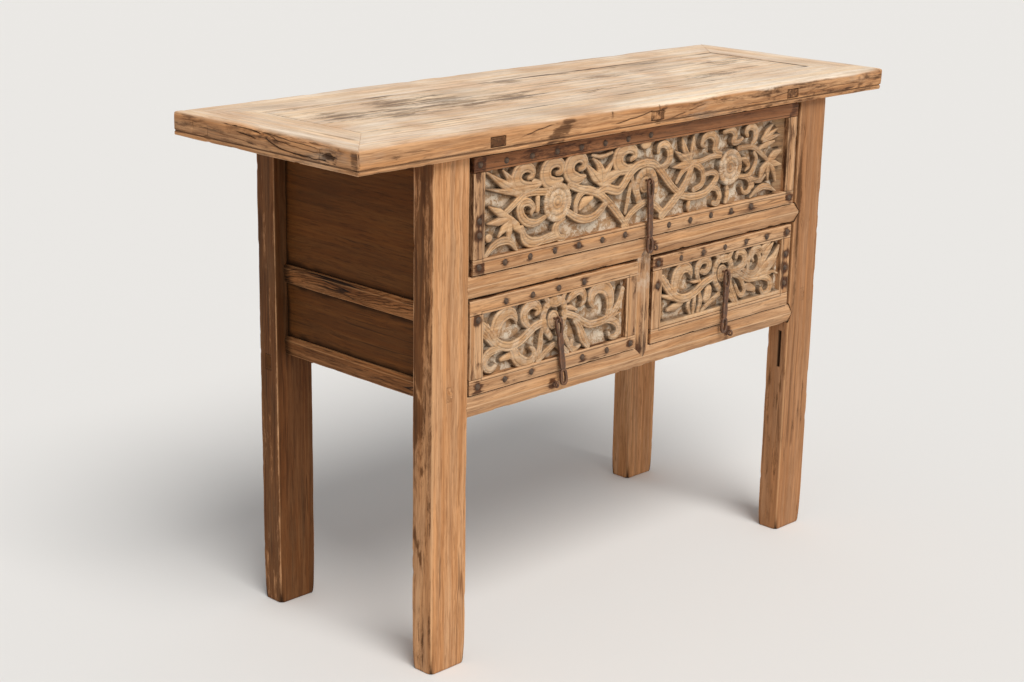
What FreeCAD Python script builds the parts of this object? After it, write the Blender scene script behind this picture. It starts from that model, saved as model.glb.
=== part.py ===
"""Altar table of worn elm: a framed top, four legs, panelled sides and three carved drawers.

Axes: X runs along the front (right is +X), Y runs from front to back, Z is up.
The origin is on the floor, below the middle of the top.  All lengths are in millimetres.
"""
import FreeCAD, Part
import os

# Overall sizes
TOP_LENGTH = 1250.0
TOP_DEPTH = 426.0
TOP_THICKNESS = 38.0
TABLE_HEIGHT = 840.0
END_OVERHANG = 152.0
FRONT_OVERHANG = 13.0
BACK_OVERHANG = 3.0

# Top: mitred frame, floating board and battens
FRAME_RAIL_WIDTH = 100.0
FRAME_END_WIDTH = 92.0
FRAME_TENON_WIDTH = 36.0
FRAME_TENON_THICKNESS = 16.0
FRAME_TENON_SETBACK = 67.0
BOARD_THICKNESS = 13.0
BOARD_TONGUE = 8.0
BOARD_TONGUE_THICKNESS = 5.0
BOARD_TONGUE_DROP = 5.0
LIP_HEIGHT = 6.5
LIP_GROOVE_HEIGHT = 3.0
LIP_GROOVE_DEPTH = 2.0
BATTEN_WIDTH = 30.0
BATTEN_HEIGHT = 20.0
BATTEN_TENON_HEIGHT = 14.0
BATTEN_LEG_GAP = 29.0

# Legs
LEG_WIDTH = 73.0
LEG_DEPTH = 44.0
LEG_EDGE_ROUND = 4.0
LEG_TENON_WIDTH = 30.0
LEG_TENON_DEPTH = 20.0
LEG_TENON_HEIGHT = 22.0
APRON_GROOVE_WIDTH = 6.0
APRON_GROOVE_DEPTH = 8.0
APRON_GROOVE_HEIGHT = 68.0
APRON_GROOVE_DROP = 19.0
APRON_GROOVE_SETBACK = 14.0

# Front and back rails, with the drawer openings between them
RAIL_HEIGHT = 33.0
UPPER_OPENING_HEIGHT = 183.0
LOWER_OPENING_HEIGHT = 152.0
FRONT_RAIL_DEPTH = 40.0
BACK_RAIL_DEPTH = 30.0
BACK_RAIL_RECESS = 6.0
MUNTIN_WIDTH = 33.0
KEEL_DROP = 3.5
MITRE_POINT = 7.0
MITRE_DEPTH = 10.0
TENON_THICKNESS = 13.0
TENON_SHOULDER = 4.0
TENON_LENGTH = 30.0
MUNTIN_TENON_LENGTH = 12.0

# Side rails and panels
SIDE_INSET = 16.0
SIDE_RAIL_DEPTH = 40.0
SIDE_RAIL_HEIGHT = 31.0
SIDE_BOTTOM_RISE = 31.0
SIDE_MID_DROP = 35.0
SIDE_TENON_LENGTH = 26.0
PANEL_THICKNESS = 10.0
PANEL_RECESS = 7.0
PANEL_TONGUE = 8.0

# Drawer runners
RUNNER_HEIGHT = 20.0
RUNNER_WIDTH = 36.0
RUNNER_STUB = 8.0
GUIDE_HEIGHT = 30.0
GUIDE_GAP = 1.5
RUN_GAP = 0.3

# Drawers
DRAWER_SIDE_GAP = 8.0
DRAWER_MUNTIN_GAP = 3.0
DRAWER_BOTTOM_GAP = 1.5
DRAWER_TOP_GAP = 3.0
DRAWER_BACK_GAP = 14.0
STRIP_WIDTH = 24.0
STRIP_THICKNESS = 12.0
FRONT_BOARD_THICKNESS = 22.0
BOX_INSET = 8.0
BOX_SIDE_THICKNESS = 12.0
BOX_SIDE_DROP = 10.0
BOX_HOUSING = 8.0
BOX_BOTTOM_THICKNESS = 8.0
BOX_BOTTOM_RISE = 10.0
BOX_BOTTOM_TONGUE = 5.0

# Nails round the drawer fronts
NAIL_HEAD_RADIUS = 5.5
NAIL_HEAD_HEIGHT = 3.0
NAIL_SHANK_RADIUS = 1.5
NAIL_LENGTH = 22.0
NAIL_SPACING = 55.0

# Hasps and their eyes
EYE_WIRE_RADIUS = 1.8
EYE_STANDOFF = 6.5
EYE_SHANK_RADIUS = 2.2
EYE_CLENCH_LENGTH = 18.0
EYE_CLENCH_THICKNESS = 1.6
HASP_PIN_RADIUS = 2.0
HASP_PIN_CLEARANCE = 0.08
HASP_THICKNESS = 6.0
HASP_ARM_WIDTH = 3.6
HASP_ARM_GAP = 1.3
HASP_TOP_LOOP = 27.0
HASP_BAR_WIDTH = 10.5
HASP_LOOP_LENGTH = 30.0
HASP_LOOP_WIDTH = 15.5
HASP_SLOT_WIDTH = 7.0
HASP_SLOT_LENGTH = 20.0
STAPLE_HOLE_RADIUS = 2.5
STAPLE_SHANK_LENGTH = 24.0

# Each drawer's eye: from the drawer's middle, and up its front as a share of the front's height
EYE_OFFSET = {"upper": -4.0, "lower_left": -6.0, "lower_right": 1.0}
EYE_HEIGHT_SHARES = {"upper": 0.524, "lower_left": 0.593, "lower_right": 0.627}

# Each hasp: its lean, how far it reaches below the staple's ring, and how far to its side the staple is
HASP_LEAN_DEGREES = {"upper": 2.0, "lower_left": 8.5, "lower_right": -1.5}
HASP_OVERHANG = {"upper": 8.5, "lower_left": 6.5, "lower_right": -2.5}
STAPLE_OFFSET = {"upper": 18.0, "lower_left": -2.0, "lower_right": 16.0}

# Each drawer's nail rows, as shares of the way from corner nail to corner nail: the stretch that
# still has nails, the places where one is missing, and the nails up the sides
NAILED_SHARES = {
    "upper": {"top": (0.0, 0.5), "bottom": (0.0, 1.0)},
    "lower_left": {"top": (0.1, 0.7), "bottom": (0.0, 1.0)},
    "lower_right": {"top": (0.0, 1.0)}}
LOST_NAIL_SHARES = {
    "upper": {"top": (), "bottom": (0.5, 0.93)},
    "lower_left": {"top": (), "bottom": (0.5,)},
    "lower_right": {"top": ()}}
SIDE_NAIL_SHARES = {
    "upper": {"left": (0.34, 0.46), "right": ()},
    "lower_left": {"left": (0.79,), "right": ()},
    "lower_right": {"left": (0.66,), "right": (0.29, 0.48, 0.65)}}

# A tool that cuts through a face runs this far past it
OVERRUN = 1.0

# Derived places
LEG_HEIGHT = TABLE_HEIGHT - TOP_THICKNESS
FRONT_FACE = -TOP_DEPTH / 2 + FRONT_OVERHANG
BACK_FACE = TOP_DEPTH / 2 - BACK_OVERHANG
FRONT_LEG_BACK = FRONT_FACE + LEG_DEPTH
REAR_LEG_FRONT = BACK_FACE - LEG_DEPTH
LEG_OUTER = TOP_LENGTH / 2 - END_OVERHANG
LEG_INNER = LEG_OUTER - LEG_WIDTH
MID_RAIL_TOP = LEG_HEIGHT - UPPER_OPENING_HEIGHT
MID_RAIL_BOTTOM = MID_RAIL_TOP - RAIL_HEIGHT
BOTTOM_RAIL_TOP = MID_RAIL_BOTTOM - LOWER_OPENING_HEIGHT
OPEN_HEIGHT = BOTTOM_RAIL_TOP - RAIL_HEIGHT
SIDE_BOTTOM_RAIL_BOTTOM = OPEN_HEIGHT + SIDE_BOTTOM_RISE
SIDE_MID_RAIL_BOTTOM = MID_RAIL_BOTTOM - SIDE_MID_DROP
SIDE_FACE = LEG_OUTER - SIDE_INSET
FRONT_RAIL_BACK = FRONT_FACE + FRONT_RAIL_DEPTH
BACK_RAIL_BACK = BACK_FACE - BACK_RAIL_RECESS
BACK_RAIL_FRONT = BACK_RAIL_BACK - BACK_RAIL_DEPTH
BOARD_BOTTOM = TABLE_HEIGHT - BOARD_THICKNESS
BOARD_HALF_LENGTH = TOP_LENGTH / 2 - FRAME_END_WIDTH
BOARD_HALF_DEPTH = TOP_DEPTH / 2 - FRAME_RAIL_WIDTH
BATTEN_OFFSET = LEG_INNER - BATTEN_LEG_GAP - BATTEN_WIDTH / 2
DRAWER_BACK = BACK_RAIL_FRONT - DRAWER_BACK_GAP
BOARD_FRONT = FRONT_FACE + STRIP_THICKNESS
BOARD_BACK = BOARD_FRONT + FRONT_BOARD_THICKNESS
EYE_Y = FRONT_FACE - EYE_STANDOFF
EYE_HOLE_RADIUS = HASP_PIN_RADIUS + HASP_PIN_CLEARANCE


def block(x_low, x_high, y_low, y_high, z_low, z_high):
    """A block between two corners."""
    corner = FreeCAD.Vector(x_low, y_low, z_low)
    return Part.makeBox(x_high - x_low, y_high - y_low, z_high - z_low, corner)


def centred_block(x, y, z, x_size, y_size, z_size):
    """A block about a middle point."""
    return block(x - x_size / 2, x + x_size / 2, y - y_size / 2, y + y_size / 2,
                 z - z_size / 2, z + z_size / 2)


def prism(points, travel):
    """A closed outline of points, drawn out along a vector."""
    corners = [FreeCAD.Vector(*point) for point in points]
    outline = Part.makePolygon(corners + corners[:1])
    return Part.Face(outline).extrude(FreeCAD.Vector(*travel))


def fused(shapes):
    """One solid from several that touch or cross."""
    return shapes[0].multiFuse(shapes[1:]).removeSplitter()


def cut_by(blank, tools):
    """A blank with the room for each piece that is let into it."""
    for tool in tools:
        if blank.BoundBox.intersect(tool.BoundBox):
            blank = blank.cut(tool)
    return blank


def mirrored(shape):
    """The same piece for the other end of the table."""
    return shape.mirror(FreeCAD.Vector(0, 0, 0), FreeCAD.Vector(1, 0, 0))


# Front frame: rails with a raised keel, mitred into the legs and round the muntin
def keel_rail(z_low, x_reach):
    """A front rail blank whose face rises to a ridge halfway up."""
    low_edge = FRONT_FACE + KEEL_DROP
    z_high = z_low + RAIL_HEIGHT
    section = [(-x_reach, low_edge, z_low), (-x_reach, FRONT_FACE, z_low + RAIL_HEIGHT / 2),
               (-x_reach, low_edge, z_high), (-x_reach, FRONT_RAIL_BACK, z_high),
               (-x_reach, FRONT_RAIL_BACK, z_low)]
    return prism(section, (2 * x_reach, 0, 0))


def mitred_tongue(z_low, side):
    """The pointed end of a rail's face, which is let into the leg."""
    z_high = z_low + RAIL_HEIGHT
    shoulder = side * LEG_INNER
    tip = side * (LEG_INNER + MITRE_POINT)
    front = FRONT_FACE - OVERRUN
    outline = [(shoulder, front, z_low), (tip, front, z_low + RAIL_HEIGHT / 2), (shoulder, front, z_high)]
    return prism(outline, (0, MITRE_DEPTH + OVERRUN, 0))


def front_rail(z_low):
    """A whole front rail: body, two mitred points and two blind tenons."""
    y_middle = FRONT_FACE + LEG_DEPTH / 2
    long_blank = keel_rail(z_low, LEG_INNER + MITRE_POINT)
    pieces = [keel_rail(z_low, LEG_INNER)]
    for side in (-1, 1):
        pieces.append(mitred_tongue(z_low, side).common(long_blank))
    reach = LEG_INNER + TENON_LENGTH
    pieces.append(block(-reach, reach, y_middle - TENON_THICKNESS / 2, y_middle + TENON_THICKNESS / 2,
                        z_low + TENON_SHOULDER, z_low + RAIL_HEIGHT - TENON_SHOULDER))
    return fused(pieces)


def muntin():
    """The upright between the lower drawers: keeled face, pointed ends and stub tenons."""
    half = MUNTIN_WIDTH / 2
    low_edge = FRONT_FACE + KEEL_DROP
    y_middle = FRONT_FACE + LEG_DEPTH / 2
    low_tip = BOTTOM_RAIL_TOP - MITRE_POINT
    high_tip = MID_RAIL_BOTTOM + MITRE_POINT
    section = [(-half, low_edge, low_tip), (0, FRONT_FACE, low_tip), (half, low_edge, low_tip),
               (half, FRONT_RAIL_BACK, low_tip), (-half, FRONT_RAIL_BACK, low_tip)]
    long_blank = prism(section, (0, 0, high_tip - low_tip))
    between = block(-half, half, FRONT_FACE, FRONT_RAIL_BACK, BOTTOM_RAIL_TOP, MID_RAIL_BOTTOM)
    body = long_blank.common(between)
    front = FRONT_FACE - OVERRUN
    outline = [(-half, front, BOTTOM_RAIL_TOP), (0, front, low_tip), (half, front, BOTTOM_RAIL_TOP),
               (half, front, MID_RAIL_BOTTOM), (0, front, high_tip), (-half, front, MID_RAIL_BOTTOM)]
    points = prism(outline, (0, MITRE_DEPTH + OVERRUN, 0)).common(long_blank)
    tenon = block(-half + TENON_SHOULDER, half - TENON_SHOULDER,
                  y_middle - TENON_THICKNESS / 2, y_middle + TENON_THICKNESS / 2,
                  BOTTOM_RAIL_TOP - MUNTIN_TENON_LENGTH, MID_RAIL_BOTTOM + MUNTIN_TENON_LENGTH)
    return fused([body, points, tenon])


# Back and sides: plain rails, and thin panels held in grooves
def back_rail(z_low, tenon_reach):
    """A rail at the back, with a tenon at each end that reaches a given distance along X."""
    y_middle = (BACK_RAIL_FRONT + BACK_RAIL_BACK) / 2
    body = block(-LEG_INNER, LEG_INNER, BACK_RAIL_FRONT, BACK_RAIL_BACK, z_low, z_low + RAIL_HEIGHT)
    tenon = block(-tenon_reach, tenon_reach, y_middle - TENON_THICKNESS / 2, y_middle + TENON_THICKNESS / 2,
                  z_low + TENON_SHOULDER, z_low + RAIL_HEIGHT - TENON_SHOULDER)
    return fused([body, tenon])


def right_side_rail(z_low, tenon_low, tenon_high):
    """A rail on the right side, whose tenon runs between two places along Y."""
    x_middle = SIDE_FACE - SIDE_RAIL_DEPTH / 2
    z_high = z_low + SIDE_RAIL_HEIGHT
    low_edge = SIDE_FACE - KEEL_DROP
    inner = SIDE_FACE - SIDE_RAIL_DEPTH
    section = [(inner, FRONT_LEG_BACK, z_low), (low_edge, FRONT_LEG_BACK, z_low),
               (SIDE_FACE, FRONT_LEG_BACK, (z_low + z_high) / 2), (low_edge, FRONT_LEG_BACK, z_high),
               (inner, FRONT_LEG_BACK, z_high)]
    body = prism(section, (0, REAR_LEG_FRONT - FRONT_LEG_BACK, 0))
    tenon = block(x_middle - TENON_THICKNESS / 2, x_middle + TENON_THICKNESS / 2, tenon_low, tenon_high,
                  z_low + TENON_SHOULDER, z_high - TENON_SHOULDER)
    return fused([body, tenon])


def right_side_panel(z_low, z_high):
    """A panel on the right side, with its edges in the grooves of legs and rails."""
    outer = SIDE_FACE - PANEL_RECESS
    return block(outer - PANEL_THICKNESS, outer, FRONT_LEG_BACK - PANEL_TONGUE, REAR_LEG_FRONT + PANEL_TONGUE,
                 z_low, z_high)


def back_panel(z_low, z_high):
    """A panel at the back, with its edges in the grooves of legs and rails."""
    outer = BACK_RAIL_BACK - (BACK_RAIL_DEPTH - PANEL_THICKNESS) / 2
    return block(-LEG_INNER - PANEL_TONGUE, LEG_INNER + PANEL_TONGUE, outer - PANEL_THICKNESS, outer,
                 z_low, z_high)


def side_pieces():
    """The right side's rails and panels, before the left side is mirrored from them."""
    mid_top = SIDE_MID_RAIL_BOTTOM + SIDE_RAIL_HEIGHT
    bottom_top = SIDE_BOTTOM_RAIL_BOTTOM + SIDE_RAIL_HEIGHT
    panel_outer = SIDE_FACE - PANEL_RECESS
    crest = block(panel_outer - PANEL_THICKNESS, panel_outer, -BOARD_HALF_DEPTH, BOARD_HALF_DEPTH,
                  LEG_HEIGHT - OVERRUN, BOARD_BOTTOM)
    upper = fused([right_side_panel(mid_top - PANEL_TONGUE, LEG_HEIGHT), crest])
    lower = right_side_panel(bottom_top - PANEL_TONGUE, SIDE_MID_RAIL_BOTTOM + PANEL_TONGUE)
    mid = right_side_rail(SIDE_MID_RAIL_BOTTOM, FRONT_LEG_BACK - SIDE_TENON_LENGTH,
                          REAR_LEG_FRONT + SIDE_TENON_LENGTH)
    bottom = right_side_rail(SIDE_BOTTOM_RAIL_BOTTOM, FRONT_FACE, BACK_FACE)
    return {"mid_rail": cut_by(mid, [upper, lower]), "bottom_rail": cut_by(bottom, [lower]),
            "upper_panel": upper, "lower_panel": lower}


# Legs
def right_leg(y_low, y_high):
    """A right leg blank: post with rounded outer edges, and a stub tenon on top."""
    post = block(LEG_INNER, LEG_OUTER, y_low, y_high, 0, LEG_HEIGHT)
    x_middle = LEG_OUTER - LEG_WIDTH / 2
    worn_edges = [edge for edge in post.Edges
                  if edge.BoundBox.ZLength > LEG_HEIGHT / 2 and edge.BoundBox.XMax > x_middle]
    post = post.makeFillet(min(LEG_EDGE_ROUND, LEG_DEPTH / 4), worn_edges)
    tenon = centred_block(x_middle, (y_low + y_high) / 2, LEG_HEIGHT,
                          LEG_TENON_WIDTH, LEG_TENON_DEPTH, 2 * LEG_TENON_HEIGHT)
    return fused([post, tenon])


def apron_groove():
    """The stopped groove in a right front leg that once held an apron's end."""
    y_low = FRONT_FACE + APRON_GROOVE_SETBACK
    z_high = OPEN_HEIGHT - APRON_GROOVE_DROP
    return block(LEG_INNER - OVERRUN, LEG_INNER + APRON_GROOVE_DEPTH, y_low, y_low + APRON_GROOVE_WIDTH,
                 z_high - APRON_GROOVE_HEIGHT, z_high)


# Top
def frame_rail(side):
    """A long rail of the top: mitred ends with a tenon that shows in the end members."""
    outer_y = side * TOP_DEPTH / 2
    inner_y = side * BOARD_HALF_DEPTH
    outline = [(-TOP_LENGTH / 2, outer_y, LEG_HEIGHT), (TOP_LENGTH / 2, outer_y, LEG_HEIGHT),
               (BOARD_HALF_LENGTH, inner_y, LEG_HEIGHT), (-BOARD_HALF_LENGTH, inner_y, LEG_HEIGHT)]
    body = prism(outline, (0, 0, TOP_THICKNESS))
    tenon = centred_block(0, side * (TOP_DEPTH / 2 - FRAME_TENON_SETBACK), LEG_HEIGHT + TOP_THICKNESS / 2,
                          TOP_LENGTH, FRAME_TENON_WIDTH, FRAME_TENON_THICKNESS)
    return fused([body, tenon])


def frame_end(side):
    """An end member of the top, mitred at both corners."""
    outer_x = side * TOP_LENGTH / 2
    inner_x = side * BOARD_HALF_LENGTH
    outline = [(outer_x, -TOP_DEPTH / 2, LEG_HEIGHT), (outer_x, TOP_DEPTH / 2, LEG_HEIGHT),
               (inner_x, BOARD_HALF_DEPTH, LEG_HEIGHT), (inner_x, -BOARD_HALF_DEPTH, LEG_HEIGHT)]
    return prism(outline, (0, 0, TOP_THICKNESS))


def top_board():
    """The floating board, with a tongue all round."""
    board = block(-BOARD_HALF_LENGTH, BOARD_HALF_LENGTH, -BOARD_HALF_DEPTH, BOARD_HALF_DEPTH,
                  BOARD_BOTTOM, TABLE_HEIGHT)
    tongue_top = TABLE_HEIGHT - BOARD_TONGUE_DROP
    tongue = block(-BOARD_HALF_LENGTH - BOARD_TONGUE, BOARD_HALF_LENGTH + BOARD_TONGUE,
                   -BOARD_HALF_DEPTH - BOARD_TONGUE, BOARD_HALF_DEPTH + BOARD_TONGUE,
                   tongue_top - BOARD_TONGUE_THICKNESS, tongue_top)
    return fused([board, tongue])


def batten(x):
    """A cross batten under the board, with tenons that show in the long edges of the top."""
    body = block(x - BATTEN_WIDTH / 2, x + BATTEN_WIDTH / 2, -BOARD_HALF_DEPTH, BOARD_HALF_DEPTH,
                 BOARD_BOTTOM - BATTEN_HEIGHT, BOARD_BOTTOM)
    tenon = block(x - BATTEN_WIDTH / 2, x + BATTEN_WIDTH / 2, -TOP_DEPTH / 2, TOP_DEPTH / 2,
                  BOARD_BOTTOM - BATTEN_TENON_HEIGHT, BOARD_BOTTOM)
    return fused([body, tenon])


def lip_groove():
    """The groove that sets off a lip along the bottom of the top's edge."""
    z_low = LEG_HEIGHT + LIP_HEIGHT
    z_high = z_low + LIP_GROOVE_HEIGHT
    outer_x = TOP_LENGTH / 2 + OVERRUN
    outer_y = TOP_DEPTH / 2 + OVERRUN
    inner_x = TOP_LENGTH / 2 - LIP_GROOVE_DEPTH
    inner_y = TOP_DEPTH / 2 - LIP_GROOVE_DEPTH
    ring = block(-outer_x, outer_x, -outer_y, outer_y, z_low, z_high)
    return ring.cut(block(-inner_x, inner_x, -inner_y, inner_y, z_low, z_high))


# Runners
def outer_runner(z_top, side):
    """A runner beside a side panel: a ledge with an upright guide, and stubs in both rails."""
    guide_inner = LEG_INNER - DRAWER_SIDE_GAP - BOX_INSET + GUIDE_GAP
    ledge = block(LEG_INNER - RUNNER_WIDTH, LEG_INNER, FRONT_RAIL_BACK, BACK_RAIL_FRONT,
                  z_top - RUNNER_HEIGHT, z_top)
    guide = block(guide_inner, LEG_INNER, FRONT_RAIL_BACK, BACK_RAIL_FRONT, z_top - RUNNER_HEIGHT,
                  z_top + GUIDE_HEIGHT)
    stub = centred_block(LEG_INNER - RUNNER_WIDTH / 2, (FRONT_RAIL_BACK + BACK_RAIL_FRONT) / 2,
                         z_top - RUNNER_HEIGHT / 2, RUNNER_WIDTH / 2,
                         BACK_RAIL_FRONT - FRONT_RAIL_BACK + 2 * RUNNER_STUB, RUNNER_HEIGHT / 2)
    runner = fused([ledge, guide, stub])
    if side < 0:
        runner = mirrored(runner)
    return runner


def middle_runner(z_top):
    """The runner behind the muntin, which carries both lower drawers and guides between them."""
    guide_half = MUNTIN_WIDTH / 2 + DRAWER_MUNTIN_GAP + BOX_INSET - GUIDE_GAP
    ledge_half = guide_half + BOX_SIDE_THICKNESS + GUIDE_GAP
    ledge = block(-ledge_half, ledge_half, FRONT_RAIL_BACK, BACK_RAIL_FRONT, z_top - RUNNER_HEIGHT, z_top)
    guide = block(-guide_half, guide_half, FRONT_RAIL_BACK, BACK_RAIL_FRONT, z_top - RUNNER_HEIGHT,
                  z_top + GUIDE_HEIGHT)
    stub = centred_block(0, (FRONT_RAIL_BACK + BACK_RAIL_FRONT) / 2, z_top - RUNNER_HEIGHT / 2,
                         RUNNER_WIDTH, BACK_RAIL_FRONT - FRONT_RAIL_BACK + 2 * RUNNER_STUB, RUNNER_HEIGHT / 2)
    return fused([ledge, guide, stub])


# Drawers
def nail(x, z):
    """One domed nail, driven square into the drawer front."""
    sphere_radius = (NAIL_HEAD_RADIUS ** 2 + NAIL_HEAD_HEIGHT ** 2) / (2 * NAIL_HEAD_HEIGHT)
    centre = FreeCAD.Vector(x, FRONT_FACE + sphere_radius - NAIL_HEAD_HEIGHT, z)
    ball = Part.makeSphere(sphere_radius, centre)
    head = ball.common(centred_block(x, FRONT_FACE - NAIL_HEAD_HEIGHT, z, 2 * sphere_radius,
                                     2 * NAIL_HEAD_HEIGHT, 2 * sphere_radius))
    shank = Part.makeCylinder(NAIL_SHANK_RADIUS, NAIL_LENGTH, FreeCAD.Vector(x, FRONT_FACE - OVERRUN, z),
                              FreeCAD.Vector(0, 1, 0))
    return fused([head, shank])


def ring_eye(x, z, hole_radius, shank_length):
    """An iron eye: a ring that stands out from the front, on a round shank."""
    ring_radius = hole_radius + EYE_WIRE_RADIUS
    ring = Part.makeTorus(ring_radius, EYE_WIRE_RADIUS, FreeCAD.Vector(x, EYE_Y, z), FreeCAD.Vector(1, 0, 0))
    shank = Part.makeCylinder(EYE_SHANK_RADIUS, shank_length, FreeCAD.Vector(x, EYE_Y + ring_radius, z),
                              FreeCAD.Vector(0, 1, 0))
    return ring.fuse(shank)


def drawer_eye(x, z):
    """The eye that a hasp hangs on, clenched over on the inside of the drawer front."""
    shank_end = BOARD_BACK + EYE_CLENCH_THICKNESS
    eye = ring_eye(x, z, EYE_HOLE_RADIUS, shank_end - EYE_Y - EYE_HOLE_RADIUS - EYE_WIRE_RADIUS)
    clench = centred_block(x, BOARD_BACK + EYE_CLENCH_THICKNESS / 2, z, EYE_CLENCH_LENGTH,
                           EYE_CLENCH_THICKNESS, 2 * EYE_SHANK_RADIUS)
    return eye.fuse(clench)


def stadium(x, z_low, z_high, width):
    """An upright slot shape of the hasp's thickness, with round ends."""
    radius = width / 2
    y_low = EYE_Y - HASP_THICKNESS / 2
    pieces = [block(x - radius, x + radius, y_low, y_low + HASP_THICKNESS, z_low + radius, z_high - radius)]
    for z in (z_low + radius, z_high - radius):
        pieces.append(Part.makeCylinder(radius, HASP_THICKNESS, FreeCAD.Vector(x, y_low, z),
                                        FreeCAD.Vector(0, 1, 0)))
    return fused(pieces)


def hasp(x, z, length, lean):
    """A hasp: a long loop round the eye, a bar that leans a little, and a slotted loop below."""
    arm_inner = EYE_WIRE_RADIUS + HASP_ARM_GAP
    neck = z - HASP_TOP_LOOP
    foot = z - length
    pieces = [centred_block(x, EYE_Y, neck, 2 * (arm_inner + HASP_ARM_WIDTH), HASP_THICKNESS,
                            HASP_BAR_WIDTH / 2)]
    for side in (-1, 1):
        arm_x = x + side * (arm_inner + HASP_ARM_WIDTH / 2)
        pieces.append(centred_block(arm_x, EYE_Y, z - HASP_TOP_LOOP / 2, HASP_ARM_WIDTH, HASP_THICKNESS,
                                    HASP_TOP_LOOP))
        pieces.append(Part.makeCylinder(HASP_THICKNESS / 2, HASP_ARM_WIDTH,
                                        FreeCAD.Vector(arm_x - HASP_ARM_WIDTH / 2, EYE_Y, z),
                                        FreeCAD.Vector(1, 0, 0)))
    loop_top = foot + HASP_LOOP_LENGTH
    pieces.append(centred_block(x, EYE_Y, (neck + loop_top) / 2, HASP_BAR_WIDTH, HASP_THICKNESS,
                                neck - loop_top + HASP_BAR_WIDTH / 2))
    pieces.append(stadium(x, foot, loop_top, HASP_LOOP_WIDTH))
    slot_low = foot + (HASP_LOOP_LENGTH - HASP_SLOT_LENGTH) / 2
    body = fused(pieces).cut(stadium(x, slot_low, slot_low + HASP_SLOT_LENGTH, HASP_SLOT_WIDTH))
    body.rotate(FreeCAD.Vector(x, EYE_Y, z), FreeCAD.Vector(0, 1, 0), -lean)
    pin_half = arm_inner + HASP_ARM_WIDTH / 2
    pin = Part.makeCylinder(HASP_PIN_RADIUS, 2 * pin_half, FreeCAD.Vector(x - pin_half, EYE_Y, z),
                            FreeCAD.Vector(1, 0, 0))
    return fused([body, pin])


def drawer_nails(name, x_low, x_high, z_low, z_high):
    """The nails of one drawer: rows spaced evenly between the corner nails, and a few up the sides."""
    columns = {"left": x_low + STRIP_WIDTH / 2, "right": x_high - STRIP_WIDTH / 2}
    rows = {"top": z_high - STRIP_WIDTH / 2, "bottom": z_low + STRIP_WIDTH / 2}
    row_length = columns["right"] - columns["left"]
    spaces = round(row_length / NAIL_SPACING)
    nails = []
    for row, (first, last) in NAILED_SHARES[name].items():
        for share in [step / spaces for step in range(spaces + 1)]:
            lost = any(abs(share - place) < 1 / (2 * spaces) for place in LOST_NAIL_SHARES[name][row])
            if first <= share <= last and not lost:
                nails.append(nail(columns["left"] + share * row_length, rows[row]))
    for column, shares in SIDE_NAIL_SHARES[name].items():
        nails += [nail(columns[column], z_low + share * (z_high - z_low)) for share in shares]
    return Part.makeCompound(nails)


def drawer(name, x_low, x_high, opening_low, opening_high):
    """All the pieces of one drawer, and the staple on the rail below it."""
    z_low = opening_low + DRAWER_BOTTOM_GAP
    z_high = opening_high - DRAWER_TOP_GAP
    box_low = x_low + BOX_INSET
    box_high = x_high - BOX_INSET
    box_floor = opening_low + RUN_GAP
    box_top = z_high - BOX_SIDE_DROP

    sides = {}
    for side, left in (("left_side", box_low), ("right_side", box_high - BOX_SIDE_THICKNESS)):
        sides[side] = block(left, left + BOX_SIDE_THICKNESS, BOARD_BACK - BOX_HOUSING, DRAWER_BACK,
                            box_floor, box_top)
    back = block(box_low + BOX_SIDE_THICKNESS, box_high - BOX_SIDE_THICKNESS,
                 DRAWER_BACK - BOX_SIDE_THICKNESS, DRAWER_BACK,
                 box_floor + BOX_BOTTOM_RISE + BOX_BOTTOM_THICKNESS, box_top)
    bottom = block(box_low + BOX_SIDE_THICKNESS - BOX_BOTTOM_TONGUE,
                   box_high - BOX_SIDE_THICKNESS + BOX_BOTTOM_TONGUE,
                   BOARD_BACK - BOX_BOTTOM_TONGUE, DRAWER_BACK,
                   box_floor + BOX_BOTTOM_RISE, box_floor + BOX_BOTTOM_RISE + BOX_BOTTOM_THICKNESS)

    strip_boxes = [(x_low, x_high, z_low, z_low + STRIP_WIDTH),
                   (x_low, x_high, z_high - STRIP_WIDTH, z_high),
                   (x_low, x_low + STRIP_WIDTH, z_low + STRIP_WIDTH, z_high - STRIP_WIDTH),
                   (x_high - STRIP_WIDTH, x_high, z_low + STRIP_WIDTH, z_high - STRIP_WIDTH)]
    strips = [block(left, right, FRONT_FACE, BOARD_FRONT, low, high)
              for left, right, low, high in strip_boxes]

    nails = drawer_nails(name, x_low, x_high, z_low, z_high)
    eye_x = (x_low + x_high) / 2 + EYE_OFFSET[name]
    eye_z = z_low + EYE_HEIGHT_SHARES[name] * (z_high - z_low)
    eye = drawer_eye(eye_x, eye_z)
    board = block(x_low, x_high, BOARD_FRONT, BOARD_BACK, z_low, z_high)
    board = cut_by(board, [sides["left_side"], sides["right_side"], bottom, eye, nails])
    staple_z = opening_low - RAIL_HEIGHT / 2
    staple = ring_eye(eye_x + STAPLE_OFFSET[name], staple_z, STAPLE_HOLE_RADIUS, STAPLE_SHANK_LENGTH)
    hasp_length = eye_z - staple_z + HASP_OVERHANG[name]
    pieces = {"front_board": board,
              "frame_strips": Part.makeCompound([strip.cut(nails) for strip in strips]),
              "left_side": sides["left_side"].cut(bottom), "right_side": sides["right_side"].cut(bottom),
              "back": back, "bottom": bottom, "nails": nails, "eye": eye,
              "hasp": hasp(eye_x, eye_z, hasp_length, HASP_LEAN_DEGREES[name])}
    return pieces, staple


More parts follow.
